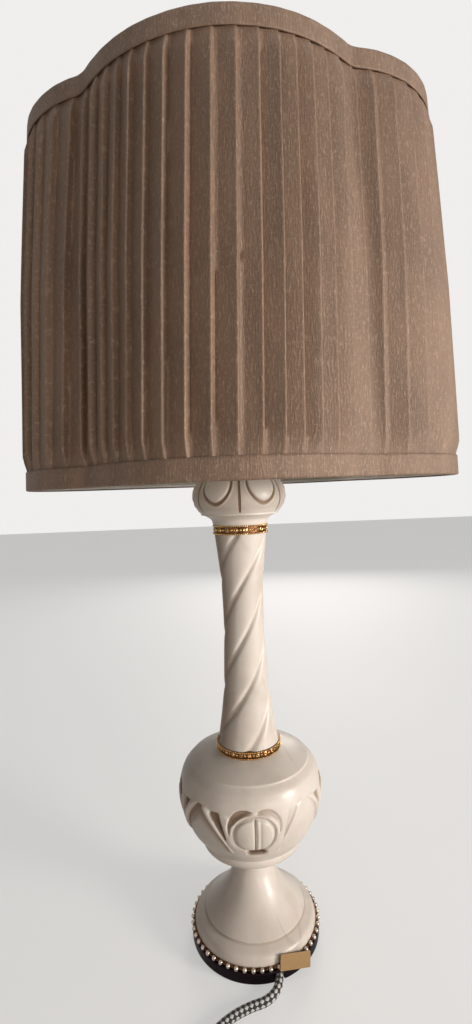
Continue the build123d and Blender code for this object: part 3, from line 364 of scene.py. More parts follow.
def silk_weave_group():
    """Slubbed silk: long threads up the cloth, slubs across it and a fine sparkle."""
    inputs = [
        ("Place", "Vector", (0.0, 0.0, 0.0)),
        ("Thread", "Float", 0.0011),
        ("Height", "Float", 0.0003),
    ]
    tree, taken, given = effect_group(
        "Silk Weave", inputs, [("Normal", "Vector"), ("Slub", "Float"), ("Tone", "Float")]
    )
    place = taken["Place"]
    thread = noise(tree, stretched(tree, place, (760.0, 120.0, 1.0)), 1.0, 3.0, 0.6)
    across = noise(tree, stretched(tree, place, (95.0, 900.0, 1.0)), 1.0, 2.0, 0.55)
    speck = noise(tree, stretched(tree, place, (700.0, 330.0, 1.0)), 1.0, 2.0, 0.6)
    tone = noise(tree, stretched(tree, place, (60.0, 14.0, 1.0)), 1.0, 3.0, 0.5)
    slub = thread.span(0.52, 0.70) * 0.7 + speck.span(0.54, 0.70) * 0.6 + across.span(0.60, 0.78) * 0.3
    cell = Field(tree, taken["Thread"])
    parts = add_node(tree, "ShaderNodeSeparateXYZ", {0: place})
    warp = (Field(tree, parts.outputs[0]) / cell * math.tau).math("SINE")
    weft = (Field(tree, parts.outputs[1]) / cell * math.tau).math("SINE")
    height = warp * weft * 0.25 + thread * 1.6 + across * 0.4 + speck
    plug(tree, bump_normal(tree, height, taken["Height"]), given["Normal"])
    plug(tree, slub, given["Slub"])
    plug(tree, tone, given["Tone"])
    return tree


def edge_wear_group():
    """A mask that is high on raised edges, from the mesh's own curvature and grain."""
    inputs = [("Place", "Vector", (0.0, 0.0, 0.0)), ("Level", "Float", 0.5)]
    tree, taken, given = effect_group("Edge Wear", inputs, [("Mask", "Float")])
    point = Field(tree, add_node(tree, "ShaderNodeNewGeometry").outputs["Pointiness"])
    grain = noise(tree, taken["Place"], 500.0, 3.0) - 0.5
    worn = point + grain * 0.06 - Field(tree, taken["Level"])
    plug(tree, worn.span(-0.02, 0.05), given["Mask"])
    return tree


def shared_group(name):
    """A shared effect, which is built when it is first asked for."""
    makers = {
        "Fine Grain": fine_grain_group,
        "Silk Weave": silk_weave_group,
        "Edge Wear": edge_wear_group,
    }
    return bpy.data.node_groups.get(name) or makers[name]()


def use_group(tree, name, feeds):
    """A shared effect placed in a material, with that material's values."""
    node = add_node(tree, "ShaderNodeGroup", node_tree=shared_group(name))
    for label, value in feeds.items():
        plug(tree, value, node.inputs[label])
    return node


# ================= materials =================
LOOK = "look_"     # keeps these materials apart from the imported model's own
TARNISH = 0.70     # how bright tarnished metal is, beside clean metal


def new_material(name, **constants):
    """A material, its tree and its Principled shader with plain values set on it."""
    material = bpy.data.materials.new(LOOK + name)
    material.use_nodes = True
    shader = material.node_tree.nodes["Principled BSDF"]
    for label, value in constants.items():
        shader.inputs[label.replace("_", " ")].default_value = value
    return material, material.node_tree, shader.inputs


def toned(colour, factor):
    """A colour made darker or paler by a factor."""
    return [min(1.0, part * factor) for part in colour[:3]] + [1.0]


def grain_at(tree, place, scale, height):
    """The shared fine grain at a place: its value and its normal."""
    grain = use_group(tree, "Fine Grain", {"Place": place, "Scale": scale, "Height": height})
    return Field(tree, grain.outputs["Value"]), grain.outputs["Normal"]


def paint(tree, shader, colour, roughness, normal):
    """Feeds a shader its colour, its roughness and its normal."""
    plug(tree, colour, shader["Base Color"])
    plug(tree, roughness, shader["Roughness"])
    plug(tree, normal, shader["Normal"])


def alabaster():
    """Creamy stone with soft clouds, thin veins, and old wax and painted shade in the carving."""
    material, tree, shader = new_material(
        "alabaster", Subsurface_Weight=0.12, Subsurface_Scale=0.004, Coat_Weight=0.06,
        Coat_Roughness=0.15,
    )
    place = object_place(tree)
    cloud = noise(tree, place, 26.0, 4.0, 0.5, 0.3).span(0.44, 0.66)
    line = (noise(tree, place, 8.0, 3.0, 0.45, 0.8) - 0.5).math("ABSOLUTE")
    vein = line.span(0.0, 0.020).taken_from_one() * noise(tree, place, 14.0).span(0.50, 0.68)
    colour = mixed(tree, cloud * 0.42, colours().stone, colours().stone_cloud)
    colour = mixed(tree, vein * 0.30, colour, colours().stone_vein)
    recess = attribute(tree, "recess").span(0.15, 1.0)
    # painted shade: recesses darken with their depth, partly old wax and partly shade that the cuts hold
    colour = mixed(tree, recess * 0.8, colour, colours().stone_recess)
    # painted shadow under the buds, with some old wax
    colour = mixed(tree, attribute(tree, "shadow_and_wax") * 0.85, colour, colours().stone_shadow_and_wax)
    grain, normal = grain_at(tree, place, 260.0, 0.00006)
    paint(tree, shader, colour, grain * 0.16 + recess * 0.25 + 0.29, normal)
    return material


def silk(name, thread, slub_share):
    """The shade's slubbed silk."""
    material, tree, shader = new_material(name, Sheen_Weight=0.12, Sheen_Roughness=0.4)
    shader["Sheen Tint"].default_value = (0.95, 0.80, 0.66, 1.0)
    shader["Specular IOR Level"].default_value = 1.0
    shader["Specular Tint"].default_value = (1.0, 0.82, 0.68, 1.0)
    place = cloth_place(tree)
    weave = use_group(tree, "Silk Weave", {"Place": place, "Thread": thread})
    tone = Field(tree, weave.outputs["Tone"])
    slub = Field(tree, weave.outputs["Slub"])
    colour = mixed(tree, tone.span(0.3, 0.7), toned(colours().silk, 0.72), colours().silk)
    colour = mixed(tree, slub * slub_share, colour, colours().silk_slub)
    paint(tree, shader, colour, slub * -0.12 + 0.52, weave.outputs["Normal"])
    return material


def shade_lining():
    """Plain off-white lining cloth."""
    material, tree, shader = new_material("shade_lining", Sheen_Weight=0.1)
    place = cloth_place(tree)
    weave = use_group(tree, "Silk Weave", {"Place": place, "Thread": 0.0008, "Height": 0.00005})
    lining = colours().lining
    colour = mixed(tree, weave.outputs["Tone"], toned(lining, 0.93), lining)
    roughness = Field(tree, weave.outputs["Slub"]) * 0.1 + 0.75
    paint(tree, shader, colour, roughness, weave.outputs["Normal"])
    return material


def metal(name, colour, roughness, grain_scale=350.0):
    """A metal with a fine grain and a little tarnish."""
    material, tree, shader = new_material(name, Metallic=1.0)
    place = object_place(tree)
    grain, normal = grain_at(tree, place, grain_scale, 0.00003)
    patch = noise(tree, place, 60.0, 4.0).span(0.35, 0.75)
    dull = mixed(tree, patch, colour, toned(colour, TARNISH))
    paint(tree, shader, dull, grain * 0.12 + patch * 0.08 + roughness, normal)
    return material


def antique_brass(name, level):
    """Red-brown lacquered brass, worn to gold where its edges rise past a level."""
    material, tree, shader = new_material(name, Metallic=1.0)
    place = object_place(tree)
    wear = use_group(tree, "Edge Wear", {"Place": place, "Level": level})
    mask = Field(tree, wear.outputs["Mask"])
    grain, normal = grain_at(tree, place, 900.0, 0.00005)
    colour = mixed(tree, mask, colours().brass_dark, colours().brass_relief)
    paint(tree, shader, colour, grain * 0.2 + mask * -0.08 + 0.24, normal)
    return material


def moulded(name, colour, roughness, scale=500.0, height=0.00004):
    """A moulded or pressed material that isn't metal."""
    material, tree, shader = new_material(name)
    place = object_place(tree)
    grain, normal = grain_at(tree, place, scale, height)
    mottled = mixed(tree, grain, toned(colour, 0.75), colour)
    paint(tree, shader, mottled, grain * 0.15 + roughness, normal)
    return material


def frosted_glass():
    """The bulb's frosted glass."""
    material, tree, shader = new_material("frosted_glass", Transmission_Weight=0.25, IOR=1.5)
    place = object_place(tree)
    grain, _ = grain_at(tree, place, 700.0, 0.00002)
    frost = mixed(tree, grain, (0.86, 0.86, 0.84, 1.0), (0.94, 0.94, 0.92, 1.0))
    plug(tree, frost, shader["Base Color"])
    plug(tree, grain * 0.1 + 0.35, shader["Roughness"])
    return material


def braid():
    """The cord's braid: crossing yarns, some of them light."""
    material, tree, shader = new_material("braid", Sheen_Weight=0.2)
    parts = add_node(tree, "ShaderNodeSeparateXYZ", {0: cloth_place(tree)})
    along = Field(tree, parts.outputs[0]) / sizes().braid_cell
    around = Field(tree, parts.outputs[1]) * 6.0
    first = around + along
    second = around - along
    over = (first.math("FLOOR") + second.math("FLOOR")).math("FLOORED_MODULO", 2.0)
    pillow = ((first * math.pi).math("SINE") * (second * math.pi).math("SINE")).math("ABSOLUTE")
    fibre = noise(tree, stretched(tree, cloth_place(tree), (2600.0, 90.0, 1.0)), 1.0, 2.0)
    colour = mixed(tree, over, colours().cord_dark, colours().cord_light)
    # painted shade in the creases between the yarns: each crossing darkens to the dark yarn's colour at its
    # edges
    edge = pillow.span(0.0, 0.22)
    colour = mixed(tree, edge * (fibre * 0.5 + 0.6), colours().cord_dark, colour)
    height = pillow ** 0.6 + fibre * 0.3
    plug(tree, colour, shader["Base Color"])
    plug(tree, fibre * 0.2 + 0.6, shader["Roughness"])
    plug(tree, bump_normal(tree, height, 0.0004, 0.9), shader["Normal"])
    return material


def gold_card():
    """Plain gold card with a faint grain."""
    material, tree, shader = new_material("gold_card", Metallic=0.35)
    place = object_place(tree)
    fibre = noise(tree, stretched(tree, place, (120.0, 120.0, 900.0)), 1.0, 3.0)
    grain, normal = grain_at(tree, place, 800.0, 0.00003)
    colour = mixed(tree, fibre, colours().card, toned(colours().card, 1.25))
    paint(tree, shader, colour, grain * 0.2 + 0.34, normal)
    return material


def seen_directly(tree, in_gloss):
    """1 for what the camera sees itself or through glass, and a share of it in gloss."""
    seen = add_node(tree, "ShaderNodeLightPath")
    straight_look = Field(tree, seen.outputs["Is Camera Ray"])
    glossy = Field(tree, seen.outputs["Is Glossy Ray"])
    through = Field(tree, seen.outputs["Is Transmission Ray"])
    return straight_look.math("MAXIMUM", glossy * in_gloss).math("MAXIMUM", through)


def floor_paint():
    """The studio floor's pale paint."""
    material, tree, shader = new_material("floor_paint")
    place = object_place(tree)
    tone = noise(tree, place, 3.0, 4.0)
    colour = mixed(tree, tone, toned(colours().floor, 0.97), colours().floor)
    plug(tree, colour, shader["Base Color"])
    plug(tree, tone * 0.1 + 0.6, shader["Roughness"])
    shader["Emission Color"].default_value = colours().floor
    plug(tree, seen_directly(tree, GLOSS_SHARE) * FLOOR_GLOW, shader["Emission Strength"])
    return material


def finish_for(name):
    """A material by name, made when it is first asked for."""
    makers = {
        "alabaster": alabaster,
        "pleated_silk": lambda: silk("pleated_silk", 0.0011, 0.55),
        "trim_silk": lambda: silk("trim_silk", 0.0011, 0.65),
        "shade_lining": shade_lining,
        "antique_brass": lambda: antique_brass("antique_brass", 0.66),
        "brass_relief": lambda: antique_brass("brass_relief", 0.53),
        "polished_brass": lambda: metal("polished_brass", colours().brass, 0.14),
        "socket_brass": lambda: metal("socket_brass", colours().brass, 0.30, 700.0),
        "plug_metal": lambda: metal("plug_metal", colours().brass, 0.20, 600.0),
        "silvered_bead": lambda: metal("silvered_bead", colours().bead, 0.24, 500.0),
        "brown_strip": lambda: metal("brown_strip", colours().brass_dark, 0.25, 500.0),
        "dark_bronze": lambda: metal("dark_bronze", colours().bronze, 0.35, 300.0),
        "zinc_steel": lambda: metal("zinc_steel", (0.62, 0.61, 0.58, 1.0), 0.30, 900.0),
        "bulb_cap_metal": lambda: metal("bulb_cap_metal", (0.80, 0.80, 0.79, 1.0), 0.28),
        "felt": lambda: moulded("felt", (0.030, 0.050, 0.040, 1.0), 0.80, 1500.0, 0.0003),
        "fibre_sleeve": lambda: moulded("fibre_sleeve", (0.35, 0.27, 0.18, 1.0), 0.60, 300.0),
        "socket_plastic": lambda: moulded("socket_plastic", (0.05, 0.04, 0.04, 1.0), 0.25),
        "knob_plastic": lambda: moulded("knob_plastic", (0.04, 0.035, 0.035, 1.0), 0.22),
        "frame_wire": lambda: moulded("frame_wire", (0.75, 0.73, 0.68, 1.0), 0.40, 200.0),
        "plug_plastic": lambda: moulded("plug_plastic", (0.03, 0.03, 0.03, 1.0), 0.42, 900.0),
        "inner_cord": lambda: moulded("inner_cord", (0.05, 0.05, 0.05, 1.0), 0.75, 2500.0, 0.0003),
        "frosted_glass": frosted_glass,
        "braid": braid,
        "gold_card": gold_card,
    }
    return bpy.data.materials.get(LOOK + name) or makers[name]()


# ================= meshes =================
def new_object(name, mesh):
    """An object that shows a mesh, at the origin."""
    piece = bpy.data.objects.new(name, mesh)
    bpy.context.scene.collection.objects.link(piece)
    return piece


def smooth(mesh, sharp_angle=40.0):
    """Smooth shading with edges that are sharp past an angle."""
    mesh.shade_smooth()
    mesh.set_sharp_from_angle(angle=math.radians(sharp_angle))


def grid_mesh(name, points, closed_rows=False, closed_columns=True, cloth=None):
    """A mesh over a grid of points, rows by columns, with an optional UV place for each."""
    rows, columns = points.shape[:2]
    index = np.arange(rows * columns).reshape(rows, columns)
    over = np.roll(index, -1, 0)
    if not closed_rows:
        index, over = index[:-1], over[:-1]
    corners = [index, np.roll(index, -1, 1), np.roll(over, -1, 1), over]
    if not closed_columns:
        corners = [corner[:, :-1] for corner in corners]
    faces = np.stack(corners, -1).reshape(-1, 4)
    mesh = bpy.data.meshes.new(name)
    mesh.from_pydata(points.reshape(-1, 3).tolist(), [], faces.tolist())
    if cloth is not None:
        low, high = cloth[:-1], cloth[1:]
        flat = [low[:, :-1], low[:, 1:], high[:, 1:], high[:, :-1]]
        layer = mesh.uv_layers.new(name="Cloth")
        layer.data.foreach_set("uv", np.stack(flat, 2).reshape(-1).astype(np.float32))
    mesh.validate()
    return mesh


def close_ends(mesh):
    """Fills a mesh's open ends and turns its faces outwards."""
    work = bmesh.new()
    work.from_mesh(mesh)
    bmesh.ops.holes_fill(work, edges=[edge for edge in work.edges if edge.is_boundary])
    bmesh.ops.recalc_face_normals(work, faces=work.faces)
    work.to_mesh(mesh)
    work.free()


def evaluated_mesh(holder):
    """The plain mesh of what an object's modifiers or spline make, in place of the object."""
    bpy.context.view_layer.update()
    result = holder.evaluated_get(bpy.context.evaluated_depsgraph_get())
    mesh = bpy.data.meshes.new_from_object(result)
    bpy.data.objects.remove(holder)
    return mesh


def flowing(points, step):
    """Points about a step apart on a smooth line through the given points."""
    known = np.array(points, float)
    known = np.vstack([2 * known[0] - known[1], known, 2 * known[-1] - known[-2]])
    made = []
    for a, b, c, d in zip(known, known[1:], known[2:], known[3:]):
        count = max(1, round(float(np.linalg.norm(c - b)) / step))
        share = (np.arange(count) / count)[:, None]
        made.append(
            0.5 * (2 * b + (c - a) * share + (2 * a - 5 * b + 4 * c - d) * share**2
                   + (3 * b - a - 3 * c + d) * share**3)
        )
    return np.vstack([*made, known[-2:-1]])


def straight(start, end, step):
    """Points about a step apart on a straight line, without its end."""
    start, end = np.array(start, float), np.array(end, float)
    count = max(1, round(float(np.linalg.norm(end - start)) / step))
    return start + (end - start) * (np.arange(count) / count)[:, None]


def bump_at(distance, width):
    """A smooth hump, 1 in its middle and nearly 0 past twice its width."""
    return np.exp(-((distance / width) ** 2))


def step_up(value, low, high):
    """0 below low, 1 above high and smooth between."""
    share = np.clip((value - low) / (high - low), 0, 1)
    return share * share * (3 - 2 * share)


def hold_values(mesh, name, values):
    """Keeps a value for each of a mesh's points, for its material to read."""
    layer = mesh.attributes.new(name, "FLOAT", "POINT")
    layer.data.foreach_set("value", values.ravel().astype(np.float32))


def turned_piece(name, outer, inner, columns, relief=None, shadow_and_wax=None, finish="alabaster"):
    """A piece turned about Z: outer is its profile from below, inner its way back down."""
    profile = np.vstack([outer, inner])
    azimuth = np.linspace(0, 360, columns, endpoint=False)
    turn, radius = np.meshgrid(azimuth, profile[:, 0])
    height = np.repeat(profile[:, 1:2], columns, 1)
    carved = np.zeros_like(radius)
    if relief:
        carved = relief(turn, height)
        carved[len(outer):] = 0
    radius = radius + carved
    angle = np.radians(turn + FRONT)
    points = np.stack([radius * np.cos(angle), radius * np.sin(angle), height], -1)
    mesh = grid_mesh(name, points, closed_rows=True)
    # the carving's depth, kept for the material: old wax and painted shade in the cuts, run a little way
    # down below each cut
    wax_and_shade = np.clip(-carved / WAX_AND_SHADE_DEPTH, 0, 1)
    wax_and_shade = np.maximum(wax_and_shade, 0.9 * np.roll(wax_and_shade, -WAX_AND_SHADE_RUN, axis=0))
    hold_values(mesh, "recess", wax_and_shade)
    # painted shadow under the buds, with some old wax, where a relief asks for it
    if shadow_and_wax:
        hold_values(mesh, "shadow_and_wax", shadow_and_wax(turn, height))
    smooth(mesh, 50.0)
    piece = new_object(name, mesh)
    mesh.materials.append(finish_for(finish))
    return piece


# ================= geometry trees =================
def geometry_tree(name, inputs):
    """A geometry tree with a geometry coming in, named inputs and a geometry going out."""
    tree = bpy.data.node_groups.new(name, "GeometryNodeTree")
    tree.is_modifier = True
    return open_tree(tree, [("Geometry", "Geometry", None), *inputs], [("Geometry", "Geometry")])


def close_tree(tree, geometry, material, given):
    """Ends a tree in Realize Instances and Set Material."""
    real = add_node(tree, "GeometryNodeRealizeInstances", {"Geometry": geometry})
    painted = add_node(
        tree, "GeometryNodeSetMaterial", {"Geometry": real.outputs[0], "Material": material}
    )
    plug(tree, painted.outputs[0], given["Geometry"])


def grown(name, tree, source, **values):
    """What a geometry tree makes of a mesh, as an object with a plain mesh."""
    holder = new_object(name + "_source", source)
    modifier = holder.modifiers.new("Growth", "NODES")
    modifier.node_group = tree
    for item in tree.interface.items_tree:
        label = item.name.lower().replace(" ", "_")
        if item.in_out == "INPUT" and label in values:
            modifier[item.identifier] = values[label]
    mesh = evaluated_mesh(holder)
    mesh.name = name
    return new_object(name, mesh)


def moved_round(tree, geometry, angle, radius, height):
    """A geometry whose points are moved to an angle, a radius and a height."""
    feeds = {"X": angle.math("COSINE") * radius, "Y": angle.math("SINE") * radius, "Z": height}
    place = add_node(tree, "ShaderNodeCombineXYZ", feeds).outputs[0]
    feeds = {"Geometry": geometry, "Position": place}
    return add_node(tree, "GeometryNodeSetPosition", feeds).outputs[0]


def ring_of_copies_tree():
    """Copies of a small shape round a circle, each with its own X pointing outwards."""
    inputs = [
        ("Count", "Int", 12),
        ("Radius", "Float", 0.05),
        ("Level", "Float", 0.0),
        ("Turn", "Float", 0.0),
        ("Unevenness", "Float", 0.0),
        ("Seed", "Int", 3),
        ("Material", "Material", None),
    ]
    tree, taken, given = geometry_tree("Ring of Copies", inputs)
    points = add_node(tree, "GeometryNodePoints", {"Count": taken["Count"]})
    index = Field(tree, add_node(tree, "GeometryNodeInputIndex").outputs[0])
    angle = index / taken["Count"] * math.tau + taken["Turn"]
    radius = Field(tree, taken["Radius"])
    placed = moved_round(tree, points.outputs[0], angle, radius, taken["Level"])
    turned = add_node(tree, "FunctionNodeAxisAngleToRotation", {"Axis": (0, 0, 1), "Angle": angle})
    spread = Field(tree, taken["Unevenness"])
    size = add_node(
        tree, "FunctionNodeRandomValue", {2: spread * -1.0 + 1.0, 3: spread + 1.0, "Seed": taken["Seed"]},
        data_type="FLOAT",
    )
    copies = add_node(
        tree, "GeometryNodeInstanceOnPoints",
        {"Points": placed, "Instance": taken["Geometry"],
         "Rotation": turned.outputs[0], "Scale": size.outputs[1]},
    )
    close_tree(tree, copies.outputs[0], taken["Material"], given)
    return tree


def spiral_column_tree():
    """The column: a flared shaft whose reeds climb to the right."""
    inputs = [
        ("Bottom", "Float", 0.18),
        ("Top", "Float", 0.38),
        ("Waist", "Float", 0.30),
        ("Waist Radius", "Float", 0.0196),
        ("Foot Flare", "Float", 0.0075),
        ("Foot Taper", "Float", 0.0025),
        ("Head Flare", "Float", 0.0058),
        ("Reeds", "Int", 4),
        ("Reed Depth", "Float", 0.0017),
        ("Lead", "Float", 0.205),
        ("Material", "Material", None),
    ]
    tree, taken, given = geometry_tree("Spiral Column", inputs)
    value = {label: Field(tree, taken[label]) for label, kind, _ in inputs if kind != "Material"}
    grid = add_node(
        tree, "GeometryNodeMeshGrid",
        {"Size X": 1.0, "Size Y": 1.0, "Vertices X": COLUMN_COLUMNS, "Vertices Y": COLUMN_ROWS},
    )
    parts = add_node(
        tree, "ShaderNodeSeparateXYZ", {0: add_node(tree, "GeometryNodeInputPosition").outputs[0]}
    )
    around = (Field(tree, parts.outputs[0]) + 0.5) * math.tau
    rise = Field(tree, parts.outputs[1]) + 0.5
    height = value["Bottom"] + (value["Top"] - value["Bottom"]) * rise
    below = ((value["Waist"] - height) / (value["Waist"] - value["Bottom"])).math("MAXIMUM", 0.0)
    above = ((height - value["Waist"]) / (value["Top"] - value["Waist"])).math("MAXIMUM", 0.0)
    crest = (
        value["Waist Radius"] + value["Foot Flare"] * below**FOOT_POWER + value["Foot Taper"] * below
        + value["Head Flare"] * above**HEAD_POWER
    )
    climb = (height - value["Bottom"]) / value["Lead"]
    phase = ((around / math.tau - climb) * value["Reeds"]).math("FRACT")
    off_crest = (phase - 0.5).math("ABSOLUTE") * 2.0
    body = off_crest**REED_POWER
    groove = (off_crest - 1.0) * CUT_SHARPNESS
    cut = (groove * groove * -1.0).math("EXPONENT")
    radius = crest - value["Reed Depth"] * (body * REED_SHARE + cut * CUT_SHARE)
    shaped = moved_round(tree, grid.outputs[0], around, radius, height)
    # old wax and painted shade in the cut between two reeds
    depth = add_node(
        tree, "GeometryNodeStoreNamedAttribute",
        {"Geometry": shaped, "Name": "recess", "Value": cut * CUT_WAX_AND_SHADE},
        data_type="FLOAT", domain="POINT",
    )
    joined = add_node(
        tree, "GeometryNodeMergeByDistance", {"Geometry": depth.outputs[0], "Distance": MERGE_DISTANCE}
    )
    close_tree(tree, joined.outputs[0], taken["Material"], given)
    return tree


def shared_tree(name, maker):
    """A geometry tree, which is built when it is first asked for."""
    return bpy.data.node_groups.get(name) or maker()


def ring_of(name, shape, material, **values):
    """Copies of a small mesh round the lamp's axis, as one piece."""
    tree = shared_tree("Ring of Copies", ring_of_copies_tree)
    piece = grown(name, tree, shape, material=finish_for(material), **values)
    smooth(piece.data)
    return piece


# ================= the stones =================
VASE_TURN = 1.5                # degrees by which the carving is turned to the right
BUD_MIDDLE = 132.5 * MM
BUD_HALF_HEIGHT = 18.5 * MM
BUD_HALF_WIDTH = 18.5          # degrees
BUD_BOTTOM = BUD_MIDDLE - BUD_HALF_HEIGHT
BUD_SEAM = 1.5                 # degrees, where a bud's two lobes meet
LEAF_FOOT = (17.5, 112.0 * MM)
LEAF_TIP = (36.5, 151.5 * MM)
LEAF_WIDTH = (0.9 * MM, 3.2 * MM)
SMALL_LEAF_TIP = (21.5, 149.5 * MM)
LEAF_SLANT = 0.8               # cosine of the leaf edge's lean
SLOT_FOOT = 122.0 * MM
SLOT_RISE = 27.5 * MM
SLOT_WIDTH = 8.5               # degrees
SLOT_DEPTH = 4.4 * MM
ARC_SCALE = 1.13 * MM          # one degree's width on the vase
BAND_LINE = 111.0 * MM
WEAR_SHARE = 0.80              # how much shallower the carving is where it is most worn
WEAR_MIDDLE = 38.0             # degrees from the front
WEAR_WIDTH = 36.0


def bud_relief(side, height, worn):
    """A bud of two round lobes in a raised rim, with a ridge up its middle."""
    up = (height - BUD_MIDDLE) / BUD_HALF_HEIGHT
    down = np.clip(-up, 0, 1)
    wide = BUD_HALF_WIDTH * (1 - 0.16 * down**2)
    reach = (np.abs(side / wide) ** 2.2 + np.abs(up) ** np.where(up > 0, 2.0, 3.0)) ** (1 / 2.1)
    inside = step_up(1.0 - reach, 0.0, 0.05)
    rim = bump_at(reach - 0.93, 0.055)
    rim_groove = bump_at(reach - 0.82, 0.05)
    field = step_up(0.80 - reach, 0.0, 0.12)
    lobe = np.where(side < BUD_SEAM, (side + 8.2) / 8.6, (side - 10.2) / 7.4)
    lobes = np.sqrt(np.clip(1 - lobe**2 * 0.9, 0, 1)) * np.sqrt(np.clip(1 - reach**2, 0, 1))
    ridge = 1.3 * bump_at(side - 2.2, 1.2) - 1.6 * bump_at(side - 0.3, 0.5) - 0.4 * bump_at(side - 4.5, 0.7)
    raised = inside * (-0.7 + 0.9 * rim - 0.8 * rim_groove) + field * (1.9 * lobes + ridge)
    under = bump_at((height - (BUD_BOTTOM + 0.4 * MM)) / MM, 2.1)
    undercut = 3.4 * under * step_up(9.5 - np.abs(side - BUD_SEAM), 0.0, 5.0)
    lean = np.degrees(np.arctan2(np.abs(side) / BUD_HALF_WIDTH, up))
    arc = np.clip((lean - 3.0) / 95.0, 0, 1)
    hood = (np.sin(math.pi * arc**0.75) ** 1.2) * 0.26
    crescent = step_up(reach, 0.985, 1.02) * step_up(1.02 + hood - reach, 0.0, 0.06)
    crescent = crescent * (arc > 0) * (arc < 1)
    return (raised - undercut - 3.0 * worn * crescent) * MM, inside


def from_bud(azimuth):
    """Degrees from the middle of the nearest of the four buds."""
    return (azimuth - VASE_TURN + 45.0) % 90.0 - 45.0


def vase_shadow_and_wax(azimuth, height):
    """How dark the painted shadow and old wax are under each bud."""
    side = from_bud(azimuth)
    below = bump_at((height - (BUD_BOTTOM - 0.2 * MM)) / MM, 1.7)
    return below * step_up(10.0 - np.abs(side - BUD_SEAM), 0.0, 5.0)


def vase_relief(azimuth, height):
    """Four buds, and between them four large leaves whose rolled edges rise to a tip."""
    side = from_bud(azimuth)
    away = np.abs(side)
    worn = 1.0 - WEAR_SHARE * bump_at((azimuth - WEAR_MIDDLE + 180.0) % 360.0 - 180.0, WEAR_WIDTH)
    carved, bud = bud_relief(side, height, worn)
    share = np.clip((height - LEAF_FOOT[1]) / (LEAF_TIP[1] - LEAF_FOOT[1]), 0, 1)
    edge = LEAF_FOOT[0] + (LEAF_TIP[0] - LEAF_FOOT[0]) * (0.60 * share + 0.40 * share**2)
    width = LEAF_WIDTH[0] + (LEAF_WIDTH[1] - LEAF_WIDTH[0]) * share**1.6
    from_rim = ((away - edge) * ARC_SCALE * LEAF_SLANT - width) / width
    past_tip = np.clip((height - LEAF_TIP[1] + LEAF_WIDTH[1]) / LEAF_WIDTH[1], 0, 2)
    rim = np.sqrt(np.clip(1 - from_rim**2 - past_tip**2, 0, 1))
    rim = rim * step_up(height, LEAF_FOOT[1] - 2.0 * MM, LEAF_FOOT[1] + 3.0 * MM)
    leaf = step_up(LEAF_TIP[1] - height, 0.0, 1.5 * MM)
    leaf = leaf * step_up(height, LEAF_FOOT[1] - 1.0 * MM, LEAF_FOOT[1] + 4.0 * MM)
    behind = step_up(from_rim, 0.75, 1.15) * leaf
    hollow = behind * (2.6 - 1.6 * step_up(from_rim, 2.0, 7.0))
    second = 1.1 * bump_at(from_rim - 2.6 - 1.2 * (1 - share), 0.55) * leaf * (1 - share**2)
    slot_share = np.clip((height - SLOT_FOOT) / SLOT_RISE, 0, 1)
    slot_width = SLOT_WIDTH * slot_share**1.15 + 0.01
    off_slot = np.abs(away - (edge - slot_width / 2)) / (slot_width / 2)
    slot = step_up(1.0 - off_slot, 0.0, 0.3) * step_up(slot_share, 0.0, 0.4)
    slot = slot * step_up(SMALL_LEAF_TIP[1] - height, 0.0, 0.8 * MM)
    brow = SMALL_LEAF_TIP[1] - np.clip(SMALL_LEAF_TIP[0] - away, 0, 20) * 1.15 * MM
    small = step_up(brow - height, 0.0, 1.4 * MM) * step_up(away, 11.0, 15.0)
    small = small * step_up(edge - slot_width - away, 0.0, 0.8)
    small = small * step_up(height, 114.0 * MM, 124.0 * MM) * (1 - bud)
    line = bump_at((height - BAND_LINE) / MM, 0.9) * step_up(away, 16.0, 21.0)
    return carved + worn * (
        (0.6 + 1.9 * share) * MM * rim + (second - hollow) * MM - SLOT_DEPTH * slot
        + 0.7 * MM * small - 0.8 * MM * line
    )


FOOT_GROOVE = 24.3 * MM
FOOT_RADIUS = 58.0 * MM
FOOT_STEP = 23.3 * MM
FOOT_BORE = (16.3 * MM, 23.0 * MM)      # radius, and height of its roof
VASE_COLLAR = 98.5 * MM
VASE_SHOULDER = (65.0 * MM, 158.0 * MM)
EGG_MIDDLE = 432.5 * MM
EGG_HALF_HEIGHT = 19.0 * MM
EGG_HALF_WIDTH = 20.5         # degrees
DART_FOOT = 405.0 * MM
DART_HEAD = 444.0 * MM


def capital_relief(azimuth, height):
    """Six eggs in raised lips, with a slot up the middle of each dart between them."""
    side = azimuth % 60.0 - 30.0
    up = (height - EGG_MIDDLE) / EGG_HALF_HEIGHT
    narrowing = 1.0 - 0.16 * np.clip(-up, 0, 1) ** 2
    reach = np.hypot(side / (EGG_HALF_WIDTH * narrowing), up)
    groove = bump_at(reach - 0.97, 0.065)
    lip = bump_at(reach - 1.12, 0.07)
    egg = np.sqrt(np.clip(1 - (reach / 0.95) ** 2, 0, 1))
    from_dart = 30.0 - np.abs(side)
    slot = step_up(1.9 - from_dart, 0.0, 0.9)
    slot = slot * step_up(height, DART_FOOT, DART_FOOT + 1.6 * MM) * step_up(DART_HEAD - height, 0, 2 * MM)
    band = step_up(height, 404.0 * MM, 409.0 * MM) * step_up(452.0 * MM - height, 0.0, 6.0 * MM)
    return (2.0 * egg - 1.9 * groove + 0.5 * lip - 1.2) * MM * band - 2.1 * MM * slot


def foot_relief(azimuth, height):
    """The fine turned groove at the foot's step."""
    # its depth also darkens it through the recess tint: old wax and painted shade in the groove
    return -1.7 * MM * bump_at(height - FOOT_GROOVE, 0.45 * MM)


def rod_bore(low, high):
    """The wall of the hole for the rod, from the top down."""
    return np.array([(ROD_CLEARANCE, high), (ROD_CLEARANCE, low)])


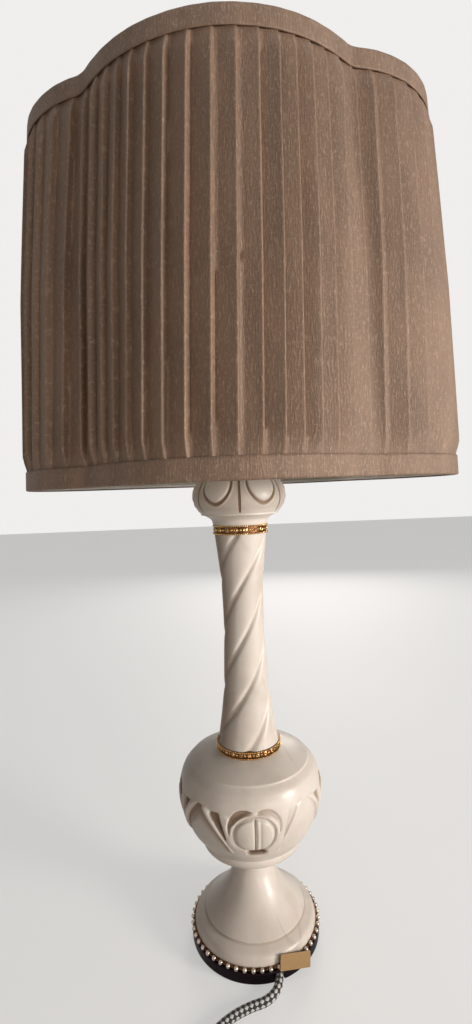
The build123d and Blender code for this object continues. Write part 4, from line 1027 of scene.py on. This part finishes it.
def build_foot():
    """The bell-shaped foot, with its turned step."""
    low, high = (corner.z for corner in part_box("foot"))
    outer = np.vstack([
        straight((FOOT_RADIUS - 1.5 * MM, low), (FOOT_RADIUS, low + 1.5 * MM), STONE_STEP),
        straight((FOOT_RADIUS, low + 1.5 * MM), (FOOT_RADIUS, low + 5.0 * MM), STONE_STEP),
        flowing([(FOOT_RADIUS, low + 5.0 * MM), (55.7 * MM, FOOT_STEP - 3.4 * MM),
                 (49.5 * MM, FOOT_STEP)], STONE_STEP),
        straight((49.2 * MM, FOOT_STEP + 0.1 * MM), (48.9 * MM, FOOT_STEP + 1.1 * MM), 0.25 * MM),
        flowing([(48.5 * MM, FOOT_STEP + 1.3 * MM), (31.0 * MM, 41.3 * MM), (20.0 * MM, 59.0 * MM),
                 (17.5 * MM, 72.0 * MM), (18.6 * MM, 80.0 * MM), (24.0 * MM, high)], STONE_STEP),
    ])
    inner = np.array([
        (ROD_CLEARANCE, high), (ROD_CLEARANCE, FOOT_BORE[1]), FOOT_BORE, (FOOT_BORE[0], low),
    ])
    piece = turned_piece("stone_foot", outer, inner, STONE_COLUMNS, foot_relief)
    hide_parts("foot")
    return piece


def build_vase():
    """The vase, carved with buds and leaves, over its rounded collar."""
    low, high = (corner.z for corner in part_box("vase"))
    outer = np.vstack([
        flowing([(43.0 * MM, low), (46.9 * MM, 90.0 * MM), (48.0 * MM, 93.0 * MM),
                 (47.3 * MM, 96.4 * MM), (46.2 * MM, VASE_COLLAR - 0.2 * MM)], STONE_STEP)[:-1],
        straight((46.2 * MM, VASE_COLLAR), (51.0 * MM, VASE_COLLAR + 0.9 * MM), STONE_STEP),
        flowing([(51.5 * MM, VASE_COLLAR + 1.1 * MM), (58.6 * MM, 109.0 * MM), (64.0 * MM, 120.0 * MM),
                 (67.3 * MM, 132.0 * MM), (68.3 * MM, 143.0 * MM), (67.0 * MM, 151.5 * MM),
                 VASE_SHOULDER], CARVED_STEP)[:-1],
        flowing([VASE_SHOULDER, (62.2 * MM, 163.0 * MM), (57.5 * MM, 167.3 * MM)], STONE_STEP),
        straight((57.3 * MM, 167.5 * MM), (56.7 * MM, 168.6 * MM), 0.4 * MM),
        flowing([(56.6 * MM, 168.8 * MM), (45.5 * MM, 173.3 * MM), (31.5 * MM, high)], STONE_STEP),
    ])
    inner = rod_bore(low, high)
    piece = turned_piece("stone_vase", outer, inner, CARVED_COLUMNS, vase_relief, vase_shadow_and_wax)
    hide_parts("vase")
    return piece


def build_capital():
    """The capital: a cove, two fillets and a cushion carved with eggs and darts."""
    low, high = (corner.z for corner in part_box("capital"))
    outer = np.vstack([
        flowing([(26.3 * MM, low), (28.0 * MM, low + 5.2 * MM), (34.0 * MM, low + 9.2 * MM)], STONE_STEP),
        straight((34.2 * MM, low + 9.4 * MM), (37.3 * MM, low + 9.8 * MM), STONE_STEP),
        straight((37.5 * MM, low + 9.9 * MM), (37.5 * MM, low + 11.2 * MM), 0.4 * MM),
        flowing([(37.7 * MM, low + 11.5 * MM), (42.0 * MM, low + 15.2 * MM), (44.8 * MM, low + 20.5 * MM),
                 (45.4 * MM, low + 26.5 * MM), (43.6 * MM, low + 35.0 * MM), (38.6 * MM, low + 44.0 * MM),
                 (30.0 * MM, high)], CARVED_STEP),
    ])
    inner = rod_bore(low, high)
    piece = turned_piece("stone_capital", outer, inner, CARVED_COLUMNS, capital_relief)
    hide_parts("capital")
    return piece


def build_column():
    """The spiral column, closed at both ends."""
    low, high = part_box("spiral_column")
    lamp = sizes()
    tree = shared_tree("Spiral Column", spiral_column_tree)
    piece = grown(
        "stone_column", tree, bpy.data.meshes.new("column_seed"), bottom=low.z, top=high.z,
        waist=COLUMN_WAIST, reeds=lamp.reeds, reed_depth=lamp.reed_depth, lead=lamp.spiral_lead,
        material=finish_for("alabaster"),
    )
    close_ends(piece.data)
    smooth(piece.data, 60.0)
    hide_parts("spiral_column")
    return piece


class LAMP_OT_stones(bpy.types.Operator):
    """Builds the foot, the vase, the column and the capital"""

    bl_idname = "lamp.stones"
    bl_label = "Stones"

    def execute(self, context):
        for piece in (build_foot(), build_vase(), build_column(), build_capital()):
            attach(piece, "lamp")
        return {"FINISHED"}


# ================= rings, beads and card =================
def ball_mesh(name, radius, squeeze=(1.0, 1.0, 1.0), segments=14, rings=9):
    """A small ball or pebble."""
    work = bmesh.new()
    bmesh.ops.create_uvsphere(work, u_segments=segments, v_segments=rings, radius=radius)
    bmesh.ops.scale(work, vec=squeeze, verts=work.verts)
    mesh = bpy.data.meshes.new(name)
    work.to_mesh(mesh)
    work.free()
    return mesh


def scroll_mesh(name, radius, thickness):
    """A small leafy scroll: a curling stem that ends in a knob, seen along X."""
    rows = []
    steps = 26
    for number in range(steps):
        share = number / (steps - 1)
        turn = math.radians(-60 + 470 * share)
        reach = radius * (1.0 - 0.72 * share)
        stem = thickness * (0.45 + 0.75 * share)
        middle = Vector((0, reach * math.cos(turn), reach * math.sin(turn)))
        outwards = middle.normalized()
        ring = []
        for corner in range(8):
            angle = math.tau * corner / 8
            ring.append(middle + stem * (outwards * math.cos(angle) + Vector((math.sin(angle), 0, 0))))
        rows.append(ring)
    mesh = grid_mesh(name, np.array(rows, float))
    close_ends(mesh)
    return mesh


def brass_ring(name, node, radius, knurls, scrolls, seed):
    """A brass band with beaded edges and scrolls between them, over a CAD ring."""
    low, high = (corner.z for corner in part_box(node))
    lip = 0.18 * (high - low)
    hollow = radius - 1.0 * MM
    outer = np.array([
        (radius - 0.5 * MM, low), (radius, low + 0.25 * lip), (radius, low + 0.75 * lip),
        (hollow, low + 1.1 * lip), (hollow, (low + high) / 2), (hollow, high - 1.1 * lip),
        (radius, high - 0.75 * lip), (radius, high - 0.25 * lip), (radius - 0.5 * MM, high),
    ])
    inner = rod_bore(low, high)
    band = turned_piece(name, outer, inner, RING_COLUMNS, finish="antique_brass")
    middle = (low + high) / 2
    edge_bead = 0.51 * lip
    edges = (("_lower_edge", low + 0.5 * lip, seed), ("_upper_edge", high - 0.5 * lip, seed + 1))
    shapes = [
        ring_of(name + label, ball_mesh(name, edge_bead, segments=8, rings=6), "brass_relief",
                count=knurls, radius=radius - 0.2 * MM, level=level, seed=own_seed)
        for label, level, own_seed in edges
    ]
    shapes += [
        ring_of(name + "_scrolls", scroll_mesh(name, (high - low) * 0.26, (high - low) * 0.085),
                "brass_relief", count=scrolls, radius=hollow + 0.15 * MM, level=middle,
                unevenness=0.05, seed=seed + 2),
        ring_of(name + "_rosettes", ball_mesh(name, (high - low) * 0.15, (0.8, 1.0, 1.0)),
                "brass_relief", count=scrolls, radius=hollow, level=middle,
                turn=math.pi / scrolls, unevenness=0.06, seed=seed + 3),
    ]
    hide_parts(node)
    for piece in (band, *shapes):
        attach(piece, "lamp")


class LAMP_OT_rings(bpy.types.Operator):
    """Builds the two brass rings at the column's ends"""

    bl_idname = "lamp.rings"
    bl_label = "Brass rings"

    def execute(self, context):
        brass_ring("lower_band", "lower_ring", radius=31.0 * MM, knurls=110, scrolls=24, seed=11)
        brass_ring("upper_band", "upper_ring", radius=26.4 * MM, knurls=90, scrolls=18, seed=21)
        return {"FINISHED"}


STRIP_INNER = 58.3 * MM
STRIP_OUTER = 59.2 * MM
CARD_AZIMUTH = 24.0
CARD_LEAN = 25.0
CARD_SLIDE = 1.2 * MM       # how far it is slid to the right
CARD_SHARE = 0.74           # its height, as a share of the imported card's
CARD_TURN = -6.5


def build_card():
    """The plain card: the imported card's own shape, trimmed lower and slid a little."""
    work = bmesh.new()
    work.from_mesh(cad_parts["name_plate"].data)
    bmesh.ops.remove_doubles(work, verts=work.verts, dist=MERGE_DISTANCE)
    work.verts.index_update()
    mesh = bpy.data.meshes.new("gold_card")
    faces = [[vertex.index for vertex in face.verts] for face in work.faces]
    mesh.from_pydata([vertex.co[:] for vertex in work.verts], [], faces)
    work.free()
    azimuth, lean, turn = (math.radians(angle) for angle in (CARD_AZIMUTH, CARD_LEAN, CARD_TURN))
    outwards = Vector((math.sin(azimuth), -math.cos(azimuth), 0))
    along = Vector((math.cos(azimuth), math.sin(azimuth), 0))
    up = Vector((0, 0, math.cos(lean))) - outwards * math.sin(lean)
    middle = sum((vertex.co for vertex in mesh.vertices), Vector()) / len(mesh.vertices)
    bottom = min((vertex.co - middle).dot(up) for vertex in mesh.vertices)
    for vertex in mesh.vertices:
        across = (vertex.co - middle).dot(along)
        height = (vertex.co - middle).dot(up)
        new_across = across + CARD_SLIDE
        new_height = bottom + (height - bottom) * CARD_SHARE
        turned_across = new_across * math.cos(turn) - new_height * math.sin(turn)
        turned_height = new_across * math.sin(turn) + new_height * math.cos(turn)
        vertex.co += along * (turned_across - across) + up * (turned_height - height)
    mesh.materials.clear()
    mesh.materials.append(finish_for("gold_card"))
    card = new_object("gold_card", mesh)
    smooth(mesh)
    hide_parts("name_plate")
    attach(card, "lamp")


class LAMP_OT_beads(bpy.types.Operator):
    """Builds the bead strip round the base, and finishes the card over it"""

    bl_idname = "lamp.beads"
    bl_label = "Beads and card"

    def execute(self, context):
        lamp = sizes()
        low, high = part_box("bead_ring")
        level = high.z - lamp.bead_radius
        beads = ring_of(
            "base_beads", ball_mesh("bead", lamp.bead_radius, segments=18, rings=12),
            "silvered_bead", count=lamp.beads, radius=lamp.bead_ring, level=level,
            unevenness=0.03, seed=5,
        )
        links = ring_of(
            "bead_links", ball_mesh("link", 1.1 * MM, (0.8, 1.6, 0.8), 10, 7),
            "brown_strip", count=lamp.beads, radius=lamp.bead_ring - 0.6 * MM, level=level,
            turn=math.pi / lamp.beads, seed=6,
        )
        outer = np.array([
            (STRIP_OUTER - 0.2 * MM, low.z), (STRIP_OUTER, low.z + 0.3 * MM),
            (STRIP_OUTER, high.z - 1.4 * MM), (STRIP_OUTER - 0.2 * MM, high.z - 1.1 * MM),
        ])
        inner = np.array([(STRIP_INNER, high.z - 1.1 * MM), (STRIP_INNER, low.z)])
        strip = turned_piece("bead_strip", outer, inner, STRIP_COLUMNS, finish="brown_strip")
        build_card()
        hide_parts("bead_ring")
        for piece in (beads, links, strip):
            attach(piece, "lamp")
        return {"FINISHED"}


# ================= shade =================
def shade_span():
    """The shade's bottom, and its height."""
    low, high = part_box("liner")
    return low.z, high.z - low.z


def shade_arcs(share):
    """The shade's outline at a share of its height, as centre, radius, start and turn."""
    bow = SHADE_BOW * (1 - abs(2 * share - 1))
    centre = BOTTOM_CENTRE_RADIUS + (TOP_CENTRE_RADIUS - BOTTOM_CENTRE_RADIUS) * share + bow
    lobe = BOTTOM_LOBE_RADIUS + (TOP_LOBE_RADIUS - BOTTOM_LOBE_RADIUS) * share + bow
    side = BOTTOM_LOBE_OFFSET + (TOP_LOBE_OFFSET - BOTTOM_LOBE_OFFSET) * share
    valley = VALLEY_RADIUS
    valley_x = ((centre + valley) ** 2 - (lobe + valley) ** 2 + side**2) / (2 * side)
    valley_y = math.sqrt((centre + valley) ** 2 - valley_x**2)
    inner = math.degrees(math.atan2(valley_y, valley_x))
    outer = math.degrees(math.atan2(valley_y, valley_x - side))
    back = inner - outer
    return [
        (0, 0, centre, -90, 90 - inner),
        (valley_x, -valley_y, valley, 180 - inner, back),
        (side, 0, lobe, -outer, 2 * outer),
        (valley_x, valley_y, valley, 180 + outer, back),
        (0, 0, centre, inner, 180 - 2 * inner),
        (-valley_x, valley_y, valley, -inner, back),
        (-side, 0, lobe, 180 - outer, 2 * outer),
        (-valley_x, -valley_y, valley, outer, back),
        (0, 0, centre, 180 + inner, 90 - inner),
    ]


def outline(share_up, shares, out):
    """Points of the shade's outline at shares of the way round, moved outwards by out."""
    arcs = np.array(shade_arcs(share_up), float)
    lengths = arcs[:, 2] * np.radians(np.abs(arcs[:, 4]))
    ends = np.concatenate([[0], np.cumsum(lengths)])
    along = (shares % 1.0) * ends[-1]
    which = np.clip(np.searchsorted(ends, along, side="right") - 1, 0, len(arcs) - 1)
    x, y, radius, start, turn = arcs[which].T
    angle = np.radians(start + turn * (along - ends[which]) / lengths[which])
    reach = radius + np.sign(turn) * out
    x, y = x + reach * np.cos(angle), y + reach * np.sin(angle)
    tilt = math.radians(SHADE_TURN)
    return np.stack([x * math.cos(tilt) - y * math.sin(tilt), x * math.sin(tilt) + y * math.cos(tilt)], -1)


def outline_length(share_up):
    """How long the outline is at a share of the shade's height."""
    arcs = np.array(shade_arcs(share_up), float)
    return float((arcs[:, 2] * np.radians(np.abs(arcs[:, 4]))).sum())


def cloth_round(name, heights, shares, outs, material, thickness):
    """Cloth round the shade: a grid of heights by shares, each point moved out by outs."""
    bottom, tall = shade_span()
    shares = np.broadcast_to(shares, outs.shape)
    points = np.zeros((*outs.shape, 3))
    for row, height in enumerate(heights):
        spot = min(max((height - bottom) / tall, 0.0), 1.0)
        points[row, :, :2] = outline(spot, shares[row], outs[row])
        points[row, :, 2] = height
    around = np.append(shares[0], shares[0, 0] + 1.0) * outline_length(0.5)
    rise = np.concatenate([[0], np.cumsum(np.linalg.norm(np.diff(points[:, 0], axis=0), axis=1))])
    cloth = np.stack(np.meshgrid(around, rise), -1)
    mesh = grid_mesh(name, points, cloth=cloth)
    smooth(mesh, 70.0)
    mesh.materials.append(finish_for(material))
    piece = new_object(name, mesh)
    wall = piece.modifiers.new("Thickness", "SOLIDIFY")
    wall.thickness = thickness
    wall.offset = 0.0
    return piece


def pleat_grid(lamp, heights):
    """Where each column of the pleated cover stands, and how far out at each height."""
    bottom, tall = shade_span()
    draw = np.random.default_rng(PLEAT_SEED)
    count = lamp.pleats
    stations = np.array(PLEAT_STATIONS)
    pleat = np.repeat(np.arange(count), len(stations))
    spot = np.tile(stations[:, 0], count)
    rise = np.tile(stations[:, 1], count)
    nudge = draw.uniform(-0.05, 0.05, count)
    depth = draw.uniform(0.84, 1.08, count)
    phase = draw.uniform(0, math.tau, (3, count))
    bulge = draw.uniform(-0.10, 0.16, count)
    even = (pleat + spot + nudge[pleat] * np.sin(spot * math.pi) ** 2) / count
    spread = sum(
        share / (math.tau * waves) * np.sin(math.tau * waves * (even - PLEAT_CENTRE))
        for waves, share in PLEAT_WAVES
    )
    slant = PLEAT_SLANT / outline_length(0.5) * ((heights - bottom) / tall - 0.5)
    shares = (even + spread)[None, :] + slant[:, None]
    outs = np.zeros(shares.shape)
    for row, height in enumerate(heights):
        from_trim = min(height - bottom, bottom + tall - height) - lamp.trim_width
        ease = float(step_up(np.array(from_trim), -4.0 * MM, PLEAT_EASE))
        full = PLEAT_DEPTH_AT_TRIM + (lamp.pleat_depth - PLEAT_DEPTH_AT_TRIM) * ease
        up = (height - bottom) / tall
        wave = 0.06 * np.sin(3.1 * up + phase[0]) + 0.015 * np.sin(9.0 * up + phase[1])
        sway = depth + wave * ease
        face = 1.0 + bulge[pleat] * np.sin(spot * math.pi)
        ripple = 0.07 * MM * ease * np.sin(5.5 * up + phase[2][pleat] + 2.4 * spot)
        outs[row] = COVER_OUT + full * rise * sway[pleat] * face + np.abs(ripple)
    return shares, outs


def trim_band(name, node, edge_height, way, lamp):
    """A flat band of the same silk, folded over the shade's edge."""
    heights = []
    outs = []
    for step in np.linspace(0.0, 1.0, 9):
        heights.append(edge_height - way * lamp.trim_width * (1 - step))
        outs.append(TRIM_OUT)
    for fold, rise in BAND_FOLD:
        heights.append(edge_height + way * rise * MM)
        outs.append(TRIM_OUT + fold * MM)
    if way < 0:
        heights, outs = heights[::-1], outs[::-1]
    shares = np.linspace(0, 1, BAND_COLUMNS, endpoint=False)
    draw = np.random.default_rng(BAND_SEEDS[way])
    pucker = sum(
        draw.uniform(0.03, 0.10) * MM * np.sin(math.tau * shares * turns + draw.uniform(0, 6))
        for turns in BAND_PUCKERS
    )
    grid = np.array(outs)[:, None] + pucker
    piece = cloth_round(name, heights, shares, grid, "trim_silk", TRIM_THICKNESS)
    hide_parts(node)
    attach(piece, "shade")
    outline_length(0.5 + way * 0.5)
    return piece


class LAMP_OT_shade(bpy.types.Operator):
    """Builds the shade's lining, its pleated cover and its two bands"""

    bl_idname = "lamp.shade"
    bl_label = "Shade cloth"

    def execute(self, context):
        lamp = sizes()
        bottom, tall = shade_span()
        shares = np.linspace(0, 1, LINING_COLUMNS, endpoint=False)
        heights = np.linspace(bottom, bottom + tall, LINING_ROWS)
        outs = np.full((len(heights), len(shares)), -LINER_THICKNESS / 2)
        lining = cloth_round("shade_lining", heights, shares, outs, "shade_lining", LINER_THICKNESS)
        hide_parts("liner")
        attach(lining, "shade")
        outline_length(0.5)
        heights = np.linspace(bottom + 0.5 * MM, bottom + tall - 0.5 * MM, COVER_ROWS)
        shares, outs = pleat_grid(lamp, heights)
        cover = cloth_round("shade_pleats", heights, shares, outs, "pleated_silk", COVER_THICKNESS)
        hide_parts("pleated_cover")
        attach(cover, "shade")
        pitch = outline_length(0.5) / lamp.pleats
        trim_band("shade_band_top", "top_trim", bottom + tall, 1, lamp)
        trim_band("shade_band_bottom", "bottom_trim", bottom, -1, lamp)
        return {"FINISHED"}


# ================= fittings =================
FITTING_FINISHES = {
    "zinc_steel": ["threaded_rod", "base_washer", "lock_washer", "base_nut", "column_nut"],
    "polished_brass": ["capital_cap", "harp_saddle", "harp", "ferrule_right", "ferrule_left", "finial"],
    "socket_brass": ["socket_cap", "socket_shell", "screw_shell"],
    "bulb_cap_metal": ["bulb_cap"],
    "frosted_glass": ["bulb_glass"],
    "fibre_sleeve": ["insulating_sleeve"],
    "socket_plastic": ["socket_core"],
    "knob_plastic": ["switch_knob"],
    "frame_wire": ["top_ring_wire", "bottom_ring_wire", "frame_ribs", "spider"],
    "felt": ["felt_pad"],
    "dark_bronze": ["base_plate"],
    "inner_cord": ["inner_lead"],
    "plug_plastic": ["plug_body"],
    "plug_metal": ["plug_blades"],
}


class LAMP_OT_fittings(bpy.types.Operator):
    """Finishes the metalwork, the socket, the bulb and the shade's frame"""

    bl_idname = "lamp.fittings"
    bl_label = "Fittings"

    def execute(self, context):
        for finish, nodes in FITTING_FINISHES.items():
            for name in nodes:
                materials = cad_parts[name].data.materials
                materials.clear()
                materials.append(finish_for(finish))
        return {"FINISHED"}


# ================= cord =================
def half_turn_points(side, start_radius, end_radius, start_level, end_level, turn=180.0):
    """Control points of part of a coil's turn, from one side of the coil, without its end."""
    steps = round(turn / COIL_ANGLE_STEP)
    radius = (start_radius + end_radius) / 2
    radius /= 0.75 + 0.25 * math.cos(math.radians(COIL_ANGLE_STEP))
    middle = side * (start_radius - end_radius) / 2
    first = 0.0 if side > 0 else 180.0
    made = []
    for step in range(steps):
        share = (step + 0.5) / steps
        angle = math.radians(first + turn * share)
        level = start_level + (end_level - start_level) * share
        made.append((middle + radius * math.cos(angle), COIL_CENTRE_Y + radius * math.sin(angle), level))
    return made


def cord_points():
    """The free cord's control points: the route, the coil's two layers and its tail."""
    low = CORD_RADIUS
    high = CORD_RADIUS + COIL_PITCH
    inner = COIL_RADIUS - COIL_HALF_TURNS * COIL_PITCH / 2 - COIL_CLIMB_INSET
    radii = [COIL_RADIUS - n * COIL_PITCH / 2 for n in range(COIL_HALF_TURNS)] + [inner]
    points = list(CORD_ROUTE)
    side = -1
    for start, end in zip(radii, radii[1:]):
        points += half_turn_points(side, start, end, low, low)
        side = -side
    points += half_turn_points(side, inner, inner, low, high)
    side = -side
    for start, end in zip(radii[:1:-1], radii[-2:0:-1]):
        points += half_turn_points(side, start, end, high, high)
        side = -side
    points += half_turn_points(side, radii[1], radii[0], high, high, 90.0)
    last_radius = (radii[0] + radii[1]) / 2
    tail_x = (radii[0] - radii[1]) / 2
    tail_y = COIL_CENTRE_Y - last_radius
    points += [(tail_x + 4.0 * MM, tail_y, high), (tail_x + 2 * CORD_DIAMETER, tail_y, high)]
    return points


def smooth_route(points):
    """The line of a NURBS spline over control points, read from its own mesh."""
    data = bpy.data.curves.new("cord_way", "CURVE")
    data.dimensions = "3D"
    data.resolution_u = 8
    spline = data.splines.new("NURBS")
    spline.points.add(len(points) - 1)
    for place, point in zip(spline.points, points):
        place.co = (*point, 1.0)
    spline.order_u = 3
    spline.use_endpoint_u = True
    mesh = evaluated_mesh(new_object("cord_way", data))
    line = np.array([vertex.co for vertex in mesh.vertices], float)
    bpy.data.meshes.remove(mesh)
    return line


def evenly(line, step):
    """The same line with points a steady step apart, and how far along each one is."""
    lengths = np.concatenate([[0], np.cumsum(np.linalg.norm(np.diff(line, axis=0), axis=1))])
    count = max(2, round(lengths[-1] / step))
    along = np.linspace(0, lengths[-1], count + 1)
    return np.stack([np.interp(along, lengths, line[:, axis]) for axis in range(3)], -1), along


def tube_mesh(name, line, along, radius, sides):
    """A closed tube along a line, with its length and its turn as its UV map."""
    way = np.gradient(line, axis=0)
    way /= np.linalg.norm(way, axis=1)[:, None]
    up = np.array([0.0, 0.0, 1.0])
    angle = np.linspace(0, math.tau, sides, endpoint=False)
    points = np.zeros((len(line), sides, 3))
    for row, (middle, forward) in enumerate(zip(line, way)):
        across = np.cross(up, forward)
        across /= np.linalg.norm(across)
        over = np.cross(forward, across)
        points[row] = middle + radius * (
            np.cos(angle)[:, None] * across + np.sin(angle)[:, None] * over
        )
    cloth = np.stack(np.meshgrid(np.linspace(0, 1, sides + 1), along), -1)[..., ::-1]
    mesh = grid_mesh(name, points, cloth=cloth)
    close_ends(mesh)
    smooth(mesh, 60.0)
    return mesh


class LAMP_OT_cord(bpy.types.Operator):
    """Builds the braided cord with its coil"""

    bl_idname = "lamp.cord"
    bl_label = "Cord"

    def execute(self, context):
        line, along = evenly(smooth_route(cord_points()), CORD_STEP)
        mesh = tube_mesh("braided_cord", line, along, CORD_RADIUS, CORD_SIDES)
        mesh.materials.append(finish_for("braid"))
        cord = new_object("braided_cord", mesh)
        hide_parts("cord_run", "cord_coil")
        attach(cord, "lamp")
        return {"FINISHED"}


# ================= stage =================
LIGHTS = (       # name, place, height of the point it faces, side, power, colour
    ("key", (1.70, -0.92, 0.56), 0.40, 0.5, 31.0, (1.0, 0.95, 0.90)),
    ("front", (0.95, -1.75, 0.42), 0.35, 0.5, 6.5, (1.0, 0.94, 0.88)),
    ("low", (-0.70, -0.90, 0.12), 0.22, 0.3, 1.1, (1.0, 0.84, 0.70)),
    ("back", (0.30, 1.95, 0.90), 0.35, 0.9, 12.0, (1.0, 0.96, 0.92)),
    ("top", (0.3, -0.1, 2.6), 0.0, 2.0, 9.0, (1.0, 0.95, 0.90)),
)


def area_light(name, place, aim_height, side, power, colour):
    """A soft square lamp that faces a point above the lamp's foot."""
    data = bpy.data.lights.new(name, "AREA")
    data.shape = "RECTANGLE"
    data.size = side
    data.size_y = side
    data.energy = power
    data.color = colour
    light = bpy.data.objects.new(name, data)
    light.location = place
    towards = Vector((0.0, 0.0, aim_height)) - Vector(place)
    light.rotation_euler = towards.to_track_quat("-Z", "Y").to_euler()
    bpy.context.scene.collection.objects.link(light)


def studio_world():
    """A soft grey room that the camera, metal and glass see as pale."""
    world = bpy.data.worlds.new("studio")
    world.use_nodes = True
    tree = world.node_tree
    background = tree.nodes["Background"]
    background.inputs["Color"].default_value = (0.92, 0.91, 0.90, 1.0)
    plug(tree, seen_directly(tree, GLOSS_SHARE) * 0.90 + 0.045, background.inputs["Strength"])
    bpy.context.scene.world = world


def camera():
    """The camera that took the photograph."""
    data = bpy.data.cameras.new("camera")
    data.lens = CAMERA_LENS
    data.sensor_width = CAMERA_SENSOR
    data.clip_start = 0.01
    data.shift_y = (HORIZON_ROW - PHOTO_HEIGHT / 2) / PHOTO_HEIGHT
    eye = bpy.data.objects.new("camera", data)
    eye.location = CAMERA_PLACE
    eye.rotation_euler = (math.radians(90), 0, 0)
    eye.rotation_euler.rotate_axis("Z", math.radians(CAMERA_ROLL))
    bpy.context.scene.collection.objects.link(eye)
    bpy.context.scene.camera = eye


class LAMP_OT_stage(bpy.types.Operator):
    """Builds the floor, the lights and the camera"""

    bl_idname = "lamp.stage"
    bl_label = "Stage"

    def execute(self, context):
        work = bmesh.new()
        bmesh.ops.create_grid(work, x_segments=4, y_segments=4, size=6.0)
        mesh = bpy.data.meshes.new("floor")
        work.to_mesh(mesh)
        work.free()
        mesh.materials.append(floor_paint())
        new_object("floor", mesh)
        for light in LIGHTS:
            area_light(*light)
        studio_world()
        camera()
        context.scene.view_settings.view_transform = "Standard"
        return {"FINISHED"}


class LAMP_PT_panel(bpy.types.Panel):
    """Lists the lamp's sizes, colours and pieces"""

    bl_idname = "LAMP_PT_panel"
    bl_label = "Column Table Lamp"
    bl_space_type = "VIEW_3D"
    bl_region_type = "UI"
    bl_category = "Lamp"

    def draw(self, context):
        layout = self.layout
        for group in (context.scene.lamp_sizes, context.scene.lamp_colours):
            box = layout.box()
            for label in group.bl_rna.properties.keys():
                if label not in ("rna_type", "name"):
                    box.prop(group, label)
        for operator in OPERATORS:
            layout.operator(operator.bl_idname)


OPERATORS = (
    LAMP_OT_stones, LAMP_OT_rings, LAMP_OT_beads, LAMP_OT_shade, LAMP_OT_fittings, LAMP_OT_cord,
    LAMP_OT_stage,
)
CLASSES = (LampSizes, LampColours, *OPERATORS, LAMP_PT_panel)


def register():
    """Adds the lamp's classes and its settings to Blender."""
    for item in CLASSES:
        bpy.utils.register_class(item)
    bpy.types.Scene.lamp_sizes = bpy.props.PointerProperty(type=LampSizes)
    bpy.types.Scene.lamp_colours = bpy.props.PointerProperty(type=LampColours)


def unregister():
    """Takes them out again."""
    del bpy.types.Scene.lamp_colours
    del bpy.types.Scene.lamp_sizes
    for item in reversed(CLASSES):
        bpy.utils.unregister_class(item)


def main():
    """Builds the whole lamp."""
    register()
    bpy.ops.lamp.stones()
    bpy.ops.lamp.rings()
    bpy.ops.lamp.beads()
    bpy.ops.lamp.shade()
    bpy.ops.lamp.fittings()
    bpy.ops.lamp.cord()
    bpy.ops.lamp.stage()


if __name__ == "__main__":
    main()
